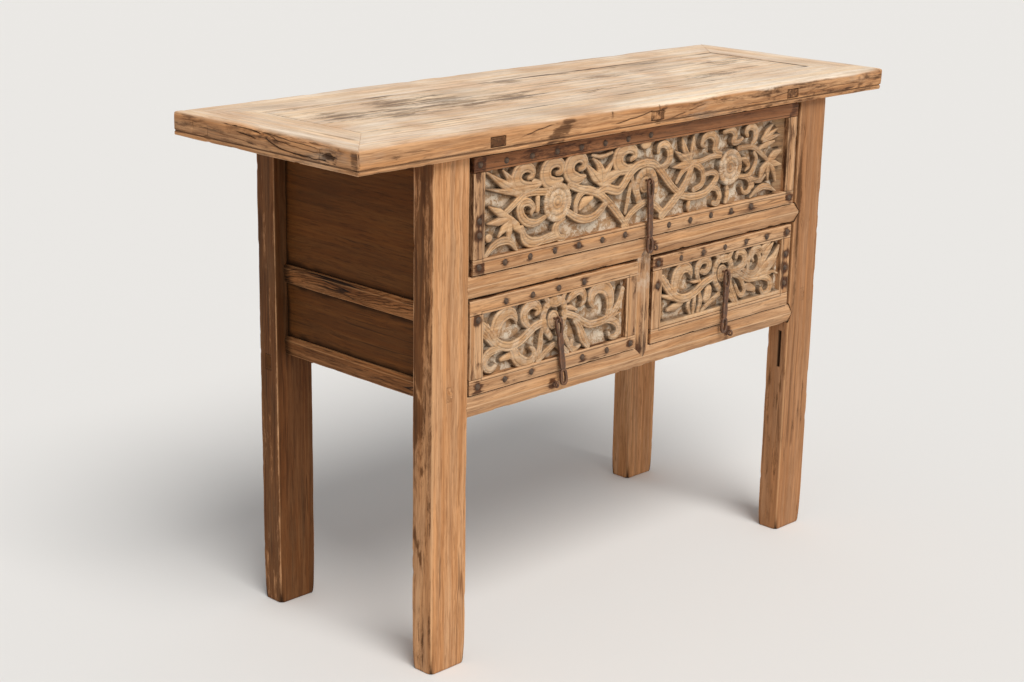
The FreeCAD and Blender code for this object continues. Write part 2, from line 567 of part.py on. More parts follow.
def drawers():
    """The three drawers by name, and their staples."""
    side_edge = LEG_INNER - DRAWER_SIDE_GAP
    muntin_edge = MUNTIN_WIDTH / 2 + DRAWER_MUNTIN_GAP
    layout = {
        "upper": (-side_edge, side_edge, MID_RAIL_TOP, LEG_HEIGHT),
        "lower_left": (-side_edge, -muntin_edge, BOTTOM_RAIL_TOP, MID_RAIL_BOTTOM),
        "lower_right": (muntin_edge, side_edge, BOTTOM_RAIL_TOP, MID_RAIL_BOTTOM)}
    nodes = {}
    staples = []
    for name, place in layout.items():
        pieces, staple = drawer(name, *place)
        staples.append(staple)
        for piece, shape in pieces.items():
            nodes[f"{name}_drawer_{piece}"] = shape
    return nodes, staples


def table():
    """Every piece of the table by its node name, each with room for what is let into it."""
    nodes, staples = drawers()
    rail_staples = Part.makeCompound(staples)
    upper_runners = [outer_runner(MID_RAIL_TOP, side) for side in (-1, 1)]
    lower_runners = [outer_runner(BOTTOM_RAIL_TOP, side) for side in (-1, 1)]
    lower_runners.append(middle_runner(BOTTOM_RAIL_TOP))
    runners = upper_runners + lower_runners
    upright = muntin()

    lower_back = back_panel(BOTTOM_RAIL_TOP - PANEL_TONGUE, MID_RAIL_BOTTOM + PANEL_TONGUE)
    upper_back = back_panel(MID_RAIL_TOP - PANEL_TONGUE, LEG_HEIGHT)
    front_mid = cut_by(front_rail(MID_RAIL_BOTTOM), [upright, rail_staples] + runners)
    front_bottom = cut_by(front_rail(OPEN_HEIGHT), [upright, rail_staples] + runners)
    back_mid = back_rail(MID_RAIL_BOTTOM, LEG_INNER + TENON_LENGTH)
    back_mid = cut_by(back_mid, [lower_back, upper_back] + runners)
    back_bottom = cut_by(back_rail(OPEN_HEIGHT, LEG_OUTER), [lower_back] + runners)
    right_side = side_pieces()
    side_shapes = list(right_side.values())

    front_leg = right_leg(FRONT_FACE, FRONT_LEG_BACK)
    front_leg = cut_by(front_leg, [apron_groove(), front_mid, front_bottom] + side_shapes)
    rear_leg = right_leg(REAR_LEG_FRONT, BACK_FACE)
    rear_leg = cut_by(rear_leg, [back_mid, back_bottom, lower_back, upper_back] + side_shapes)
    legs = [front_leg, rear_leg, mirrored(front_leg), mirrored(rear_leg)]

    board = top_board()
    battens = [batten(x) for x in (-BATTEN_OFFSET, 0, BATTEN_OFFSET)]
    groove = lip_groove()
    rails = {name: cut_by(frame_rail(side), [board, groove] + battens + legs)
             for name, side in (("front", -1), ("back", 1))}
    for name, side in (("left", -1), ("right", 1)):
        nodes[f"top_{name}_end"] = cut_by(frame_end(side), [board, groove] + list(rails.values()))

    nodes.update({
        "top_front_rail": rails["front"], "top_back_rail": rails["back"], "top_board": board,
        "top_battens": Part.makeCompound(battens),
        "front_right_leg": legs[0], "rear_right_leg": legs[1],
        "front_left_leg": legs[2], "rear_left_leg": legs[3],
        "front_mid_rail": front_mid, "front_bottom_rail": front_bottom, "front_muntin": upright,
        "back_mid_rail": back_mid, "back_bottom_rail": back_bottom,
        "back_upper_panel": upper_back, "back_lower_panel": lower_back,
        "upper_runners": Part.makeCompound(upper_runners),
        "lower_runners": Part.makeCompound(lower_runners),
        "rail_staples": rail_staples})
    for name, shape in right_side.items():
        nodes[f"right_side_{name}"] = shape
        nodes[f"left_side_{name}"] = mirrored(shape)
    return nodes


os.makedirs("parts", exist_ok=True)
for node, shape in table().items():
    shape.exportStep(f"parts/{node}.step")
    print(f"{node}: {len(shape.Solids)} solid(s), {shape.Volume / 1000:.1f} cm3")
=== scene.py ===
# %% [markdown]
# # An old altar table of worn elm
# The table is a framed top on four straight legs, with panelled sides and three carved drawers that are
# locked by iron hasps. The construction is already settled: every solid has its place in the frame that
# is loaded first. This lesson dresses it. Each bar of timber, each carved board and each nail is a surface
# worked out with numpy in the place of its plain solid, because the age of the real piece shows in shapes
# (rounded arrises, splits, chisel marks) that a flat-sided solid with a picture on it doesn't have.
# All sizes below are millimetres; they turn into metres only when a mesh is made.

# %% The fixed frame
import math
import bpy
import numpy as np
from mathutils import Matrix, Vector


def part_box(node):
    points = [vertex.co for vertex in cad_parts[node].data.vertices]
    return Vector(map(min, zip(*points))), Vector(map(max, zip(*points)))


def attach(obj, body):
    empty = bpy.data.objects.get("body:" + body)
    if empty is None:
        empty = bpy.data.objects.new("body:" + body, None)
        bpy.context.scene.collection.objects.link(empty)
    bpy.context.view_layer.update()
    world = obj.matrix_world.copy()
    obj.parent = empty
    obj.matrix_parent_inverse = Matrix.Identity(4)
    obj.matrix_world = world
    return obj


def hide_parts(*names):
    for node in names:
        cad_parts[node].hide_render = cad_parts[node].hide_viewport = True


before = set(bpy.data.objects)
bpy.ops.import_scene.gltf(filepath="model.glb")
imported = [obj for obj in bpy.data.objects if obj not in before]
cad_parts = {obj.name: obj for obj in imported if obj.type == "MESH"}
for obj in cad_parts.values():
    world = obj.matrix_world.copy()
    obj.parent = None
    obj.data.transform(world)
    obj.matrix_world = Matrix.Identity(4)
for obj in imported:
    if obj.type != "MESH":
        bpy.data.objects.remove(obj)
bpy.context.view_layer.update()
MM = 0.001


def span(node):
    """The lowest and the highest corner of a solid, in millimetres."""
    low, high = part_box(node)
    return np.array(low) / MM, np.array(high) / MM


print("solids in the frame:", len(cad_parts))

# %% [markdown]
# ## Camera
# The view is from the front left and a little above, through a long lens. Five values hold it: the place,
# two turns, a slight roll and the focal length. The camera's axes are worked out from the turns, so that
# nothing depends on the order in which a program applies its Euler angles.

# %% Camera
CAMERA_PLACE = np.array([-2.2744, -2.1284, 1.3158])
CAMERA_YAW, CAMERA_PITCH, CAMERA_ROLL = -0.7952, -0.2861, 0.018
LENS, SENSOR = 66.25, 36.0

forward = np.array([-math.sin(CAMERA_YAW) * math.cos(CAMERA_PITCH),
                    math.cos(CAMERA_YAW) * math.cos(CAMERA_PITCH), math.sin(CAMERA_PITCH)])
level = np.cross(forward, [0, 0, 1])
level = level / np.linalg.norm(level)
upright = np.cross(level, forward)
camera_right = math.cos(CAMERA_ROLL) * level + math.sin(CAMERA_ROLL) * upright
camera_up = math.cos(CAMERA_ROLL) * upright - math.sin(CAMERA_ROLL) * level


def in_scene(name, data, axes=None, place=(0, 0, 0)):
    """A new object with that data, turned to three axes and moved to a place."""
    made = bpy.data.objects.new(name, data)
    bpy.context.scene.collection.objects.link(made)
    if axes is not None:
        placing = np.eye(4)
        placing[:3] = np.stack([*axes, place], 1)
        made.matrix_world = Matrix(placing.tolist())
    return made


camera_data = bpy.data.cameras.new("camera")
camera_data.lens, camera_data.sensor_width = LENS, SENSOR
bpy.context.scene.camera = in_scene("camera", camera_data, (camera_right, camera_up, -forward), CAMERA_PLACE)
bpy.context.scene.view_settings.view_transform = "Standard"
print("camera looks along", forward.round(3))

# %% [markdown]
# ## Light and floor
# A broad key light stands in front, high up and a little to the left, as an open sky would. A pale world
# fills the shadows, so a face turned to the light shows its own colour, the left side falls darker,
# and every upper bevel catches a line of light. The floor is plain and pale, and keeps the table's shadow.

# %% Light and floor
KEY_STRENGTH, KEY_SOFTNESS = 2.5, 32.0
KEY_FROM, KEY_COLOUR = (-0.16, -0.58, 0.80), (1.0, 0.985, 0.96)
WORLD_STRENGTH, WORLD_COLOUR, BACKDROP_COLOUR = 0.42, (0.97, 0.985, 1, 1), (0.825, 0.81, 0.787, 1)
FLOOR_SIZE, FLOOR_COLOUR = 60.0, (0.78, 0.765, 0.745, 1)


def add(tree, kind, inputs=None, **settings):
    """A new shader node: settings are its properties, inputs its values or the sockets that feed it."""
    made = tree.nodes.new(kind)
    for key, value in settings.items():
        setattr(made, key, value)
    for key, value in (inputs or {}).items():
        if isinstance(value, bpy.types.NodeSocket):
            tree.links.new(value, made.inputs[key])
        else:
            made.inputs[key].default_value = value
    return made


key_data = bpy.data.lights.new("key", "SUN")
key_data.energy, key_data.angle = KEY_STRENGTH, math.radians(KEY_SOFTNESS)
key_data.color = KEY_COLOUR
towards = np.array(KEY_FROM) / np.linalg.norm(KEY_FROM)
across = np.cross([0, 0, 1], towards)
across = across / np.linalg.norm(across)
in_scene("key", key_data, (across, np.cross(towards, across), towards))

world = bpy.data.worlds.new("studio")
world.use_nodes = True
bpy.context.scene.world = world
tree = world.node_tree
tree.nodes.clear()
rays = add(tree, "ShaderNodeLightPath")
seen = rays.outputs["Is Camera Ray"]
for kind in ("Is Glossy Ray", "Is Transmission Ray"):
    seen = add(tree, "ShaderNodeMath", {0: seen, 1: rays.outputs[kind]}, operation="MAXIMUM").outputs[0]
fill = add(tree, "ShaderNodeBackground", {"Color": WORLD_COLOUR, "Strength": WORLD_STRENGTH})
backdrop = add(tree, "ShaderNodeBackground", {"Color": BACKDROP_COLOUR, "Strength": 1.0})
mixed = add(tree, "ShaderNodeMixShader", {0: seen, 1: fill.outputs[0], 2: backdrop.outputs[0]})
add(tree, "ShaderNodeOutputWorld", {0: mixed.outputs[0]})

floor_mesh = bpy.data.meshes.new("floor")
half = FLOOR_SIZE / 2
floor_mesh.from_pydata([(-half, -half, 0), (half, -half, 0), (half, half, 0), (-half, half, 0)], [],
                       [(0, 1, 2, 3)])
floor = in_scene("floor", floor_mesh)
floor_finish = bpy.data.materials.new("floor_paper")
floor_finish.use_nodes = True
floor_surface = floor_finish.node_tree.nodes["Principled BSDF"].inputs
floor_surface["Base Color"].default_value = FLOOR_COLOUR
floor_surface["Roughness"].default_value = 0.9
floor_mesh.materials.append(floor_finish)
print("key light from", KEY_FROM, "world", WORLD_STRENGTH)

# %% [markdown]
# ## Colours and shader groups
# Old elm looks the way it does for a few reasons, and each is one shader group with named sockets. The
# first is the grain: bands of early and late wood, dark pores drawn out along the timber, and fine
# checks. The second is age: arrises rubbed pale, dirt in whatever is recessed (in the carved walls, the
# groove above the lip and round the side panels that darkening is also painted shade), and streaks of old
# stain. The third is what is left of a whitewash in the carved grounds, and the iron has a fourth, for its
# rust. A pattern has to run along each piece of timber, whichever way the piece lies, so every new mesh
# carries its own wood coordinates as a vertex attribute.

# %% Colours
WHITE, BLACK = (1, 1, 1, 1), (0, 0, 0, 1)


def tone(red, green, blue):
    """A colour as it is seen, 0 to 255, turned into linear light by the screen's own formula."""
    seen_share = np.array([red, green, blue]) / 255
    linear = np.where(seen_share <= 0.04045, seen_share / 12.92, ((seen_share + 0.055) / 1.055) ** 2.4)
    return tuple(np.clip(linear, 0, 0.95)) + (1.0,)


def group(name, inputs, outputs):
    """An empty shader group; returns it, the sockets that it is given and those that it gives."""
    made = bpy.data.node_groups.new(name, "ShaderNodeTree")
    for socket, kind, value in inputs:
        new = made.interface.new_socket(socket, in_out="INPUT", socket_type="NodeSocket" + kind)
        new.default_value = value
    for socket, kind in outputs:
        made.interface.new_socket(socket, in_out="OUTPUT", socket_type="NodeSocket" + kind)
    return made, made.nodes.new("NodeGroupInput").outputs, made.nodes.new("NodeGroupOutput").inputs


def tree_of(*values):
    """The shader tree that the first socket among the values belongs to."""
    return next(value.id_data for value in values if isinstance(value, bpy.types.NodeSocket))


def connect(sockets, values):
    """Each named socket gets its value from another socket."""
    for key, value in values.items():
        tree_of(value).links.new(value, sockets[key])


def mix(share, first, second, blend="MIX"):
    """The colour that lies the given share of the way from the first to the second."""
    return add(tree_of(share, first, second), "ShaderNodeMix", {0: share, 6: first, 7: second},
               data_type="RGBA", blend_type=blend).outputs[2]


def tinted(colour, red, green, blue):
    """A colour multiplied by another."""
    return mix(1.0, colour, (red, green, blue, 1), "MULTIPLY")


def step(operation, first, second=0.0, clamp=False):
    """One step of arithmetic between values."""
    return add(tree_of(first, second), "ShaderNodeMath", {0: first, 1: second}, operation=operation,
               use_clamp=clamp).outputs[0]


def plus(first, second):
    """The sum of two values."""
    return step("ADD", first, second)


def minus(first, second):
    """The first value less the second."""
    return step("SUBTRACT", first, second)


def times(first, second, clamp=False):
    """The product of two values."""
    return step("MULTIPLY", first, second, clamp)


def ruffled(value, grains, amount):
    """A value moved up and down by noise about its middle, which makes a smooth edge ragged."""
    return plus(value, times(minus(grains, 0.5), amount))


def between(value, low, high):
    """0 where the value is at the low limit, 1 at the high one, smooth between."""
    return add(tree_of(value), "ShaderNodeMapRange", {0: value, 1: low, 2: high},
               interpolation_type="SMOOTHSTEP", clamp=True).outputs[0]


def noise(place, scale, along, detail=4.0, roughness=0.55, distortion=0.0):
    """Noise whose grains are drawn out along the timber: that direction counts only by the share along."""
    drawn = add(tree_of(place), "ShaderNodeVectorMath", {0: place, 1: (along, 1.0, 1.0)},
                operation="MULTIPLY")
    return add(tree_of(place), "ShaderNodeTexNoise", {
        "Vector": drawn.outputs[0], "Scale": scale, "Detail": detail, "Roughness": roughness,
        "Distortion": distortion}).outputs[0]


print("a middle grey of 128 in linear light:", round(float(tone(128, 128, 128)[0]), 3))

# %% Grain group
grain_group, given, result = group(
    "elm_grain",
    [("Place", "Vector", (0, 0, 0)), ("Early wood", "Color", WHITE), ("Late wood", "Color", BLACK),
     ("Pores", "Color", BLACK), ("Pore share", "Float", 0.5), ("Check share", "Float", 0.5)],
    [("Color", "Color"), ("Height", "Float")])
place, early, late, pores = (given[key] for key in ("Place", "Early wood", "Late wood", "Pores"))
sway = add(grain_group, "ShaderNodeVectorMath", {0: noise(place, 5.0, 1.0, 2.0), "Scale": 0.014},
           operation="SCALE").outputs[0]
swayed = add(grain_group, "ShaderNodeVectorMath", {0: place, 1: sway}, operation="ADD").outputs[0]
rings = noise(swayed, 52.0, 0.05, 3.0, 0.55, 0.3)
broad = noise(swayed, 12.0, 0.16, 3.0)
streaks = noise(swayed, 190.0, 0.03, 5.0, 0.68)
fine = noise(swayed, 480.0, 0.035, 3.0, 0.7)
ring_lines = between(step("SINE", times(rings, 62.0)), 0.35, 0.95)
streak_share = between(streaks, 0.47, 0.60)
colour = early
for mask, strength in ((between(rings, 0.38, 0.62), 0.55), (between(broad, 0.45, 0.68), 0.45),
                       (ring_lines, 0.45), (streak_share, 0.6)):
    colour = mix(times(mask, strength), colour, late)
colour = mix(times(between(streaks, 0.47, 0.36), 0.5), colour, tinted(early, 1.16, 1.13, 1.10))
warmth = between(noise(swayed, 70.0, 0.035, 4.0, 0.62), 0.38, 0.62)
colour = mix(warmth, tinted(colour, 1.02, 0.96, 0.88), tinted(colour, 0.97, 1.01, 1.08))
pore_mask = times(between(fine, 0.55, 0.66), plus(0.45, times(streak_share, 0.55)))
pore_mask = times(pore_mask, given["Pore share"])
colour = mix(pore_mask, colour, pores)
lines = step("ABSOLUTE", minus(noise(swayed, 34.0, 0.03, 3.0, 0.5, 0.2), 0.5))
thin = minus(1.0, between(lines, 0.004, 0.020))
patch = between(noise(place, 9.0, 0.5, 2.0), 0.52, 0.60)
checks = times(times(thin, patch), given["Check share"])
colour = mix(checks, colour, pores)
dashes = between(noise(swayed, 330.0, 0.11, 2.0, 0.6), 0.56, 0.68)
dashes = times(dashes, times(given["Pore share"], 0.75))
height = minus(times(plus(streaks, fine), 0.5), times(ring_lines, 0.3))
connect(result, {"Color": mix(dashes, colour, mix(0.5, late, pores)),
                 "Height": minus(height, plus(pore_mask, checks))})
print("grain:", len(grain_group.nodes), "nodes")

# %% Age group
age_group, given, result = group(
    "age_of_timber",
    [("Place", "Vector", (0, 0, 0)), ("Color", "Color", WHITE), ("Arris", "Float", 0.0),
     ("Rubbed", "Color", WHITE), ("Rubbed share", "Float", 0.6), ("Recess", "Float", 0.0),
     ("Dirt", "Color", BLACK), ("Stain", "Float", 0.0), ("Darkened by", "Color", WHITE),
     ("Smudge", "Color", BLACK), ("Smudge share", "Float", 0.0)],
    [("Color", "Color"), ("Roughness", "Float")])
place, wood, stain, rubbed = (given[key] for key in ("Place", "Color", "Stain", "Rubbed"))
streaks = noise(place, 130.0, 0.045, 5.0, 0.65)
clouds = noise(place, 9.0, 0.45, 5.0, 0.62, 0.3)
blots = noise(place, 70.0, 0.22, 6.0, 0.76, 0.3)
ragged = ruffled(ruffled(stain, streaks, 1.1), blots, 1.9)
stained = times(between(ragged, 0.26, 0.66), between(stain, 0.0, 0.12))
darker = mix(1.0, wood, given["Darkened by"], "MULTIPLY")
blackish = times(between(streaks, 0.50, 0.64), 0.55)
colour = mix(stained, wood, mix(blackish, darker, tinted(darker, 0.31, 0.30, 0.29)))
smudged = times(between(ruffled(clouds, streaks, 0.35), 0.52, 0.70), given["Smudge share"])
colour = mix(smudged, colour, given["Smudge"])
patchy = between(ruffled(given["Arris"], streaks, 0.8), 0.40, 0.95)
rubbed = mix(times(stained, 0.85), rubbed, tinted(rubbed, 0.50, 0.40, 0.32))
colour = mix(times(patchy, given["Rubbed share"]), colour, rubbed)
# recessed places go towards the dark colour: real dirt, and painted shade from the carved walls, the lip
# groove and the side panels' edges
dirt_and_shade = times(given["Recess"], 0.9)
rough = plus(minus(0.66, times(patchy, 0.14)), times(dirt_and_shade, 0.2))
connect(result, {"Color": mix(dirt_and_shade, colour, given["Dirt"]), "Roughness": rough})
print("age:", len(age_group.nodes), "nodes")

# %% Whitewash group
wash_group, given, result = group(
    "whitewash_remains",
    [("Place", "Vector", (0, 0, 0)), ("Color", "Color", WHITE), ("Amount", "Float", 0.0),
     ("White", "Color", WHITE), ("Worn off", "Color", BLACK), ("Dirt", "Color", BLACK)],
    [("Color", "Color")])
mottle = noise(given["Place"], 70.0, 1, 6.0, 0.68, 0.5)
specks = noise(given["Place"], 420.0, 1, 3.0, 0.6)
left = between(ruffled(mottle, specks, 0.35), 0.40, 0.58)
washed = mix(left, given["Worn off"], given["White"])
washed = mix(times(between(specks, 0.60, 0.72), 0.6), washed, given["Dirt"])
share = times(given["Amount"], plus(0.72, times(left, 0.28)), clamp=True)
connect(result, {"Color": mix(share, given["Color"], washed)})
print("whitewash:", len(wash_group.nodes), "nodes")

# %% Timber finish
finishes = {}


def attribute(tree, name, output="Fac"):
    """A value that the mesh carries at its points."""
    return add(tree, "ShaderNodeAttribute", attribute_name=name).outputs[output]


def ratio(second, first):
    """What the first colour has to be multiplied by to give the second."""
    return tuple(min(b / a, 1.0) for a, b in zip(first[:3], second[:3])) + (1.0,)


def surface_of(made):
    """The shader tree of a new material, and its surface's sockets."""
    made.use_nodes = True
    return made.node_tree, made.node_tree.nodes["Principled BSDF"].inputs


def timber(name, early, late, pores, rubbed, dirt, stained, smudge, pore_share=0.5, check_share=0.6,
           rubbed_share=0.6, smudge_share=0.0, bump=0.35, object_grain=None, upright=None, wash=None,
           specular=0.25):
    """The finish of one kind of timber, its colours given as they are seen. With object_grain, turned
    object coordinates stand in for the wood coordinates, for solids that carry none. upright is the early,
    late, rubbed and stained wood where the bleaching never reached (attribute tan), and wash the two
    colours of whitewash remains in a carved ground. Stain works as it does on wood: it multiplies the
    colour, so the grain shows through it."""
    finishes[name] = bpy.data.materials.new(name)
    tree, surface = surface_of(finishes[name])
    early, late, pores, rubbed, dirt, stained, smudge = (
        tone(*seen) for seen in (early, late, pores, rubbed, dirt, stained, smudge))
    if object_grain is None:
        wood_place = attribute(tree, "wood_place", "Vector")
    else:
        coordinates = add(tree, "ShaderNodeTexCoord").outputs["Object"]
        wood_place = add(tree, "ShaderNodeMapping",
                         {"Vector": coordinates, "Rotation": object_grain}).outputs[0]
    darkened = ratio(stained, early)
    if upright is not None:
        tan_share = attribute(tree, "tan")
        upright = [tone(*seen) for seen in upright]
        darkened = mix(tan_share, darkened, ratio(upright[3], upright[0]))
        early, late, rubbed = (mix(tan_share, pale, brown)
                               for pale, brown in zip((early, late, rubbed), upright))
    grain = add(tree, "ShaderNodeGroup", {
        "Place": wood_place, "Early wood": early, "Late wood": late, "Pores": pores,
        "Pore share": pore_share, "Check share": check_share}, node_tree=grain_group).outputs
    age = add(tree, "ShaderNodeGroup", {
        "Place": wood_place, "Color": grain["Color"], "Arris": attribute(tree, "arris"),
        "Rubbed": rubbed, "Rubbed share": rubbed_share, "Recess": attribute(tree, "recess"), "Dirt": dirt,
        "Stain": attribute(tree, "stain"), "Darkened by": darkened, "Smudge": smudge,
        "Smudge share": smudge_share}, node_tree=age_group).outputs
    colour = age["Color"]
    if wash is not None:
        colour = add(tree, "ShaderNodeGroup", {
            "Place": wood_place, "Color": colour, "Amount": attribute(tree, "wash"),
            "White": tone(*wash[0]), "Worn off": tone(*wash[1]), "Dirt": dirt},
            node_tree=wash_group).outputs[0]
    relief = add(tree, "ShaderNodeBump", {"Height": grain["Height"], "Strength": bump, "Distance": 0.6 * MM})
    connect(surface, {"Base Color": colour, "Roughness": age["Roughness"], "Normal": relief.outputs[0]})
    surface["Specular IOR Level"].default_value = specular


timber("bleached_elm", (248, 228, 203), (224, 197, 166), (124, 92, 64), (248, 230, 208), (58, 38, 24),
       (172, 152, 130), (176, 154, 132), pore_share=0.5, smudge_share=0.5, rubbed_share=0.35,
       upright=((210, 158, 110), (158, 108, 68), (214, 168, 124), (118, 80, 48)))
timber("leg_elm", (214, 162, 116), (172, 120, 78), (104, 66, 38), (222, 174, 128), (44, 28, 16),
       (126, 84, 50), (128, 94, 64), pore_share=0.5, smudge_share=0.2, rubbed_share=0.45, specular=0.12)
# A darker, smoother copy of leg_elm for the front right leg and the right tenon ends: its darker tone is
# painted shade.
timber("leg_elm_even_shaded", (184, 134, 94), (156, 110, 74), (104, 66, 38), (214, 164, 118), (44, 28, 16),
       (112, 74, 44), (124, 88, 58), pore_share=0.35, smudge_share=0.25, rubbed_share=0.45, bump=0.25,
       specular=0.12)
timber("orange_elm", (208, 162, 118), (164, 118, 80), (92, 60, 38), (222, 184, 144), (50, 32, 20),
       (96, 60, 34), (120, 84, 56), pore_share=0.5, smudge_share=0.3, rubbed_share=0.5,
       wash=((216, 198, 176), (178, 142, 108)),
       upright=((166, 112, 72), (128, 82, 50), (170, 120, 80), (98, 60, 36)))
timber("dark_elm", (108, 66, 30), (88, 51, 22), (44, 26, 12), (150, 100, 58), (20, 12, 6), (58, 36, 18),
       (70, 44, 22), pore_share=0.6, smudge_share=0.4, rubbed_share=0.5, specular=0.08)
timber("rail_elm", (164, 110, 66), (102, 62, 32), (32, 18, 10), (182, 130, 84), (20, 12, 6), (62, 40, 22),
       (70, 44, 26), pore_share=0.9, check_share=1.0, smudge_share=0.3, rubbed_share=0.6, bump=0.6,
       specular=0.1)
timber("carved_elm", (214, 174, 130), (178, 132, 90), (96, 64, 40), (228, 196, 158), (30, 18, 10),
       (120, 84, 54), (140, 104, 72), pore_share=0.45, check_share=0.5, rubbed_share=0.5,
       smudge_share=0.5, bump=0.3, wash=((222, 204, 180), (150, 114, 80)))
for letter, turn in (("Y", (0, 0, math.pi / 2)), ("X", (0, 0, 0))):
    timber("drawer_wood_" + letter, (190, 150, 110), (156, 114, 76), (92, 62, 40), (204, 168, 130),
           (60, 42, 28), (100, 72, 50), (120, 92, 66), pore_share=0.4, smudge_share=0.4,
           object_grain=turn)
print("timber finishes:", ", ".join(finishes))

# %% [markdown]
# ## A worn bar of timber
# Nearly every piece of the table is a bar: a section with rounded corners that runs along one axis. Age
# takes wood away and never adds any, so a bar starts at its true size and each point moves in along its
# own normal by the wear there. More is gone at the arrises and at the ends, and a piece's own cuts (a
# groove, a split, the seat of a tenon) are a depth function of place. That keeps every piece inside the
# size that it was made to.

# %% Smooth noise in numpy
def lattice(column, row, seed):
    """A random number from 0 to 1 for each whole-number pair: the fraction of a large sine."""
    value = np.sin(column * 127.1 + row * 311.7 + seed * 74.7) * 43758.5453
    return value - np.floor(value)


def rolling(u, v, seed):
    """Smooth noise from -1 to 1: random heights at whole numbers, blended between by 3t^2 - 2t^3."""
    column, row = np.floor(u), np.floor(v)
    s, t = u - column, v - row
    s, t = s * s * (3 - 2 * s), t * t * (3 - 2 * t)
    near = lattice(column, row, seed) * (1 - s) + lattice(column + 1, row, seed) * s
    far = lattice(column, row + 1, seed) * (1 - s) + lattice(column + 1, row + 1, seed) * s
    return 2 * (near * (1 - t) + far * t) - 1


def rise(value, low, high):
    """0 up to the low limit, 1 from the high one, smooth between."""
    share = np.clip((value - low) / (high - low), 0, 1)
    return share * share * (3 - 2 * share)


print("halfway from 0 to 1 rise gives", rise(0.5, 0, 1), "and a quarter of the way", rise(0.25, 0, 1))

# %% Section outlines
ARC_POINTS = 5
ARRIS_REACH = 1.8


def outline(corners, rounds, steps):
    """A closed section: each corner is an arc tangent to its two sides, and each side is cut in steps.
    An arc's centre is on the bisector, at radius / sin(half the angle) from the corner. Returns the points,
    their outward normals and how near each is to an arris, 1 on the arc and 0 from ARRIS_REACH on."""
    corners = np.array(corners, float)
    count = len(corners)
    turn = np.roll(corners, -1, 0) - corners
    area = np.sum(corners[:, 0] * turn[:, 1] - corners[:, 1] * turn[:, 0])
    side_sign = 1.0 if area > 0 else -1.0
    rounds = [rounds] * count if np.isscalar(rounds) else list(rounds)
    steps = [steps] * count if np.isscalar(steps) else list(steps)
    arcs = []
    for k in range(count):
        back = corners[k - 1] - corners[k]
        on = corners[(k + 1) % count] - corners[k]
        back, on = back / np.linalg.norm(back), on / np.linalg.norm(on)
        half_angle = math.acos(np.clip(back @ on, -1, 1)) / 2
        convex = (back[0] * on[1] - back[1] * on[0]) * side_sign < 0
        radius = rounds[k]
        centre = corners[k] + (back + on) / np.linalg.norm(back + on) * radius / math.sin(half_angle)
        first = corners[k] + back * radius / math.tan(half_angle) - centre
        last = corners[k] + on * radius / math.tan(half_angle) - centre
        share = np.linspace(0, 1, ARC_POINTS)[:, None]
        ray = first * (1 - share) + last * share
        ray = ray / np.linalg.norm(ray, axis=1)[:, None]
        arcs.append((centre + ray * radius, ray if convex else -ray, convex))
    points, normals, arris = [], [], []
    for k in range(count):
        arc, ray, convex = arcs[k]
        points.append(arc)
        normals.append(ray)
        arris.append(np.full(len(arc), 1.0 if convex else 0.0))
        start, stop = arc[-1], arcs[(k + 1) % count][0][0]
        length = np.linalg.norm(stop - start)
        pieces = max(1, int(math.ceil(length / steps[k])))
        share = np.arange(1, pieces) / pieces
        along = (stop - start) / max(length, 1e-9)
        points.append(start + share[:, None] * (stop - start))
        normals.append(np.tile([along[1] * side_sign, -along[0] * side_sign], (len(share), 1)))
        from_start = np.where(convex, 1 - share * length / ARRIS_REACH, 0)
        from_stop = np.where(arcs[(k + 1) % count][2], 1 - (1 - share) * length / ARRIS_REACH, 0)
        arris.append(np.clip(np.maximum(from_start, from_stop), 0, 1))
    return np.concatenate(points), np.concatenate(normals), np.concatenate(arris)


print("a square of 10 has", len(outline([(0, 0), (10, 0), (10, 10), (0, 10)], 1, 5)[0]), "section points")

# %% The bar itself
CAP_SHARES = (0.75, 0.4)
END_STEPS = np.array([0, 0.12, 0.4, 1.0])
CHIP_LENGTH, CHIP_START, WORN_LENGTH, WOBBLE_LENGTH = 16.0, 0.42, 38, 140
SEED_SHIFT = np.array([911.0, 173.0, 57.0])


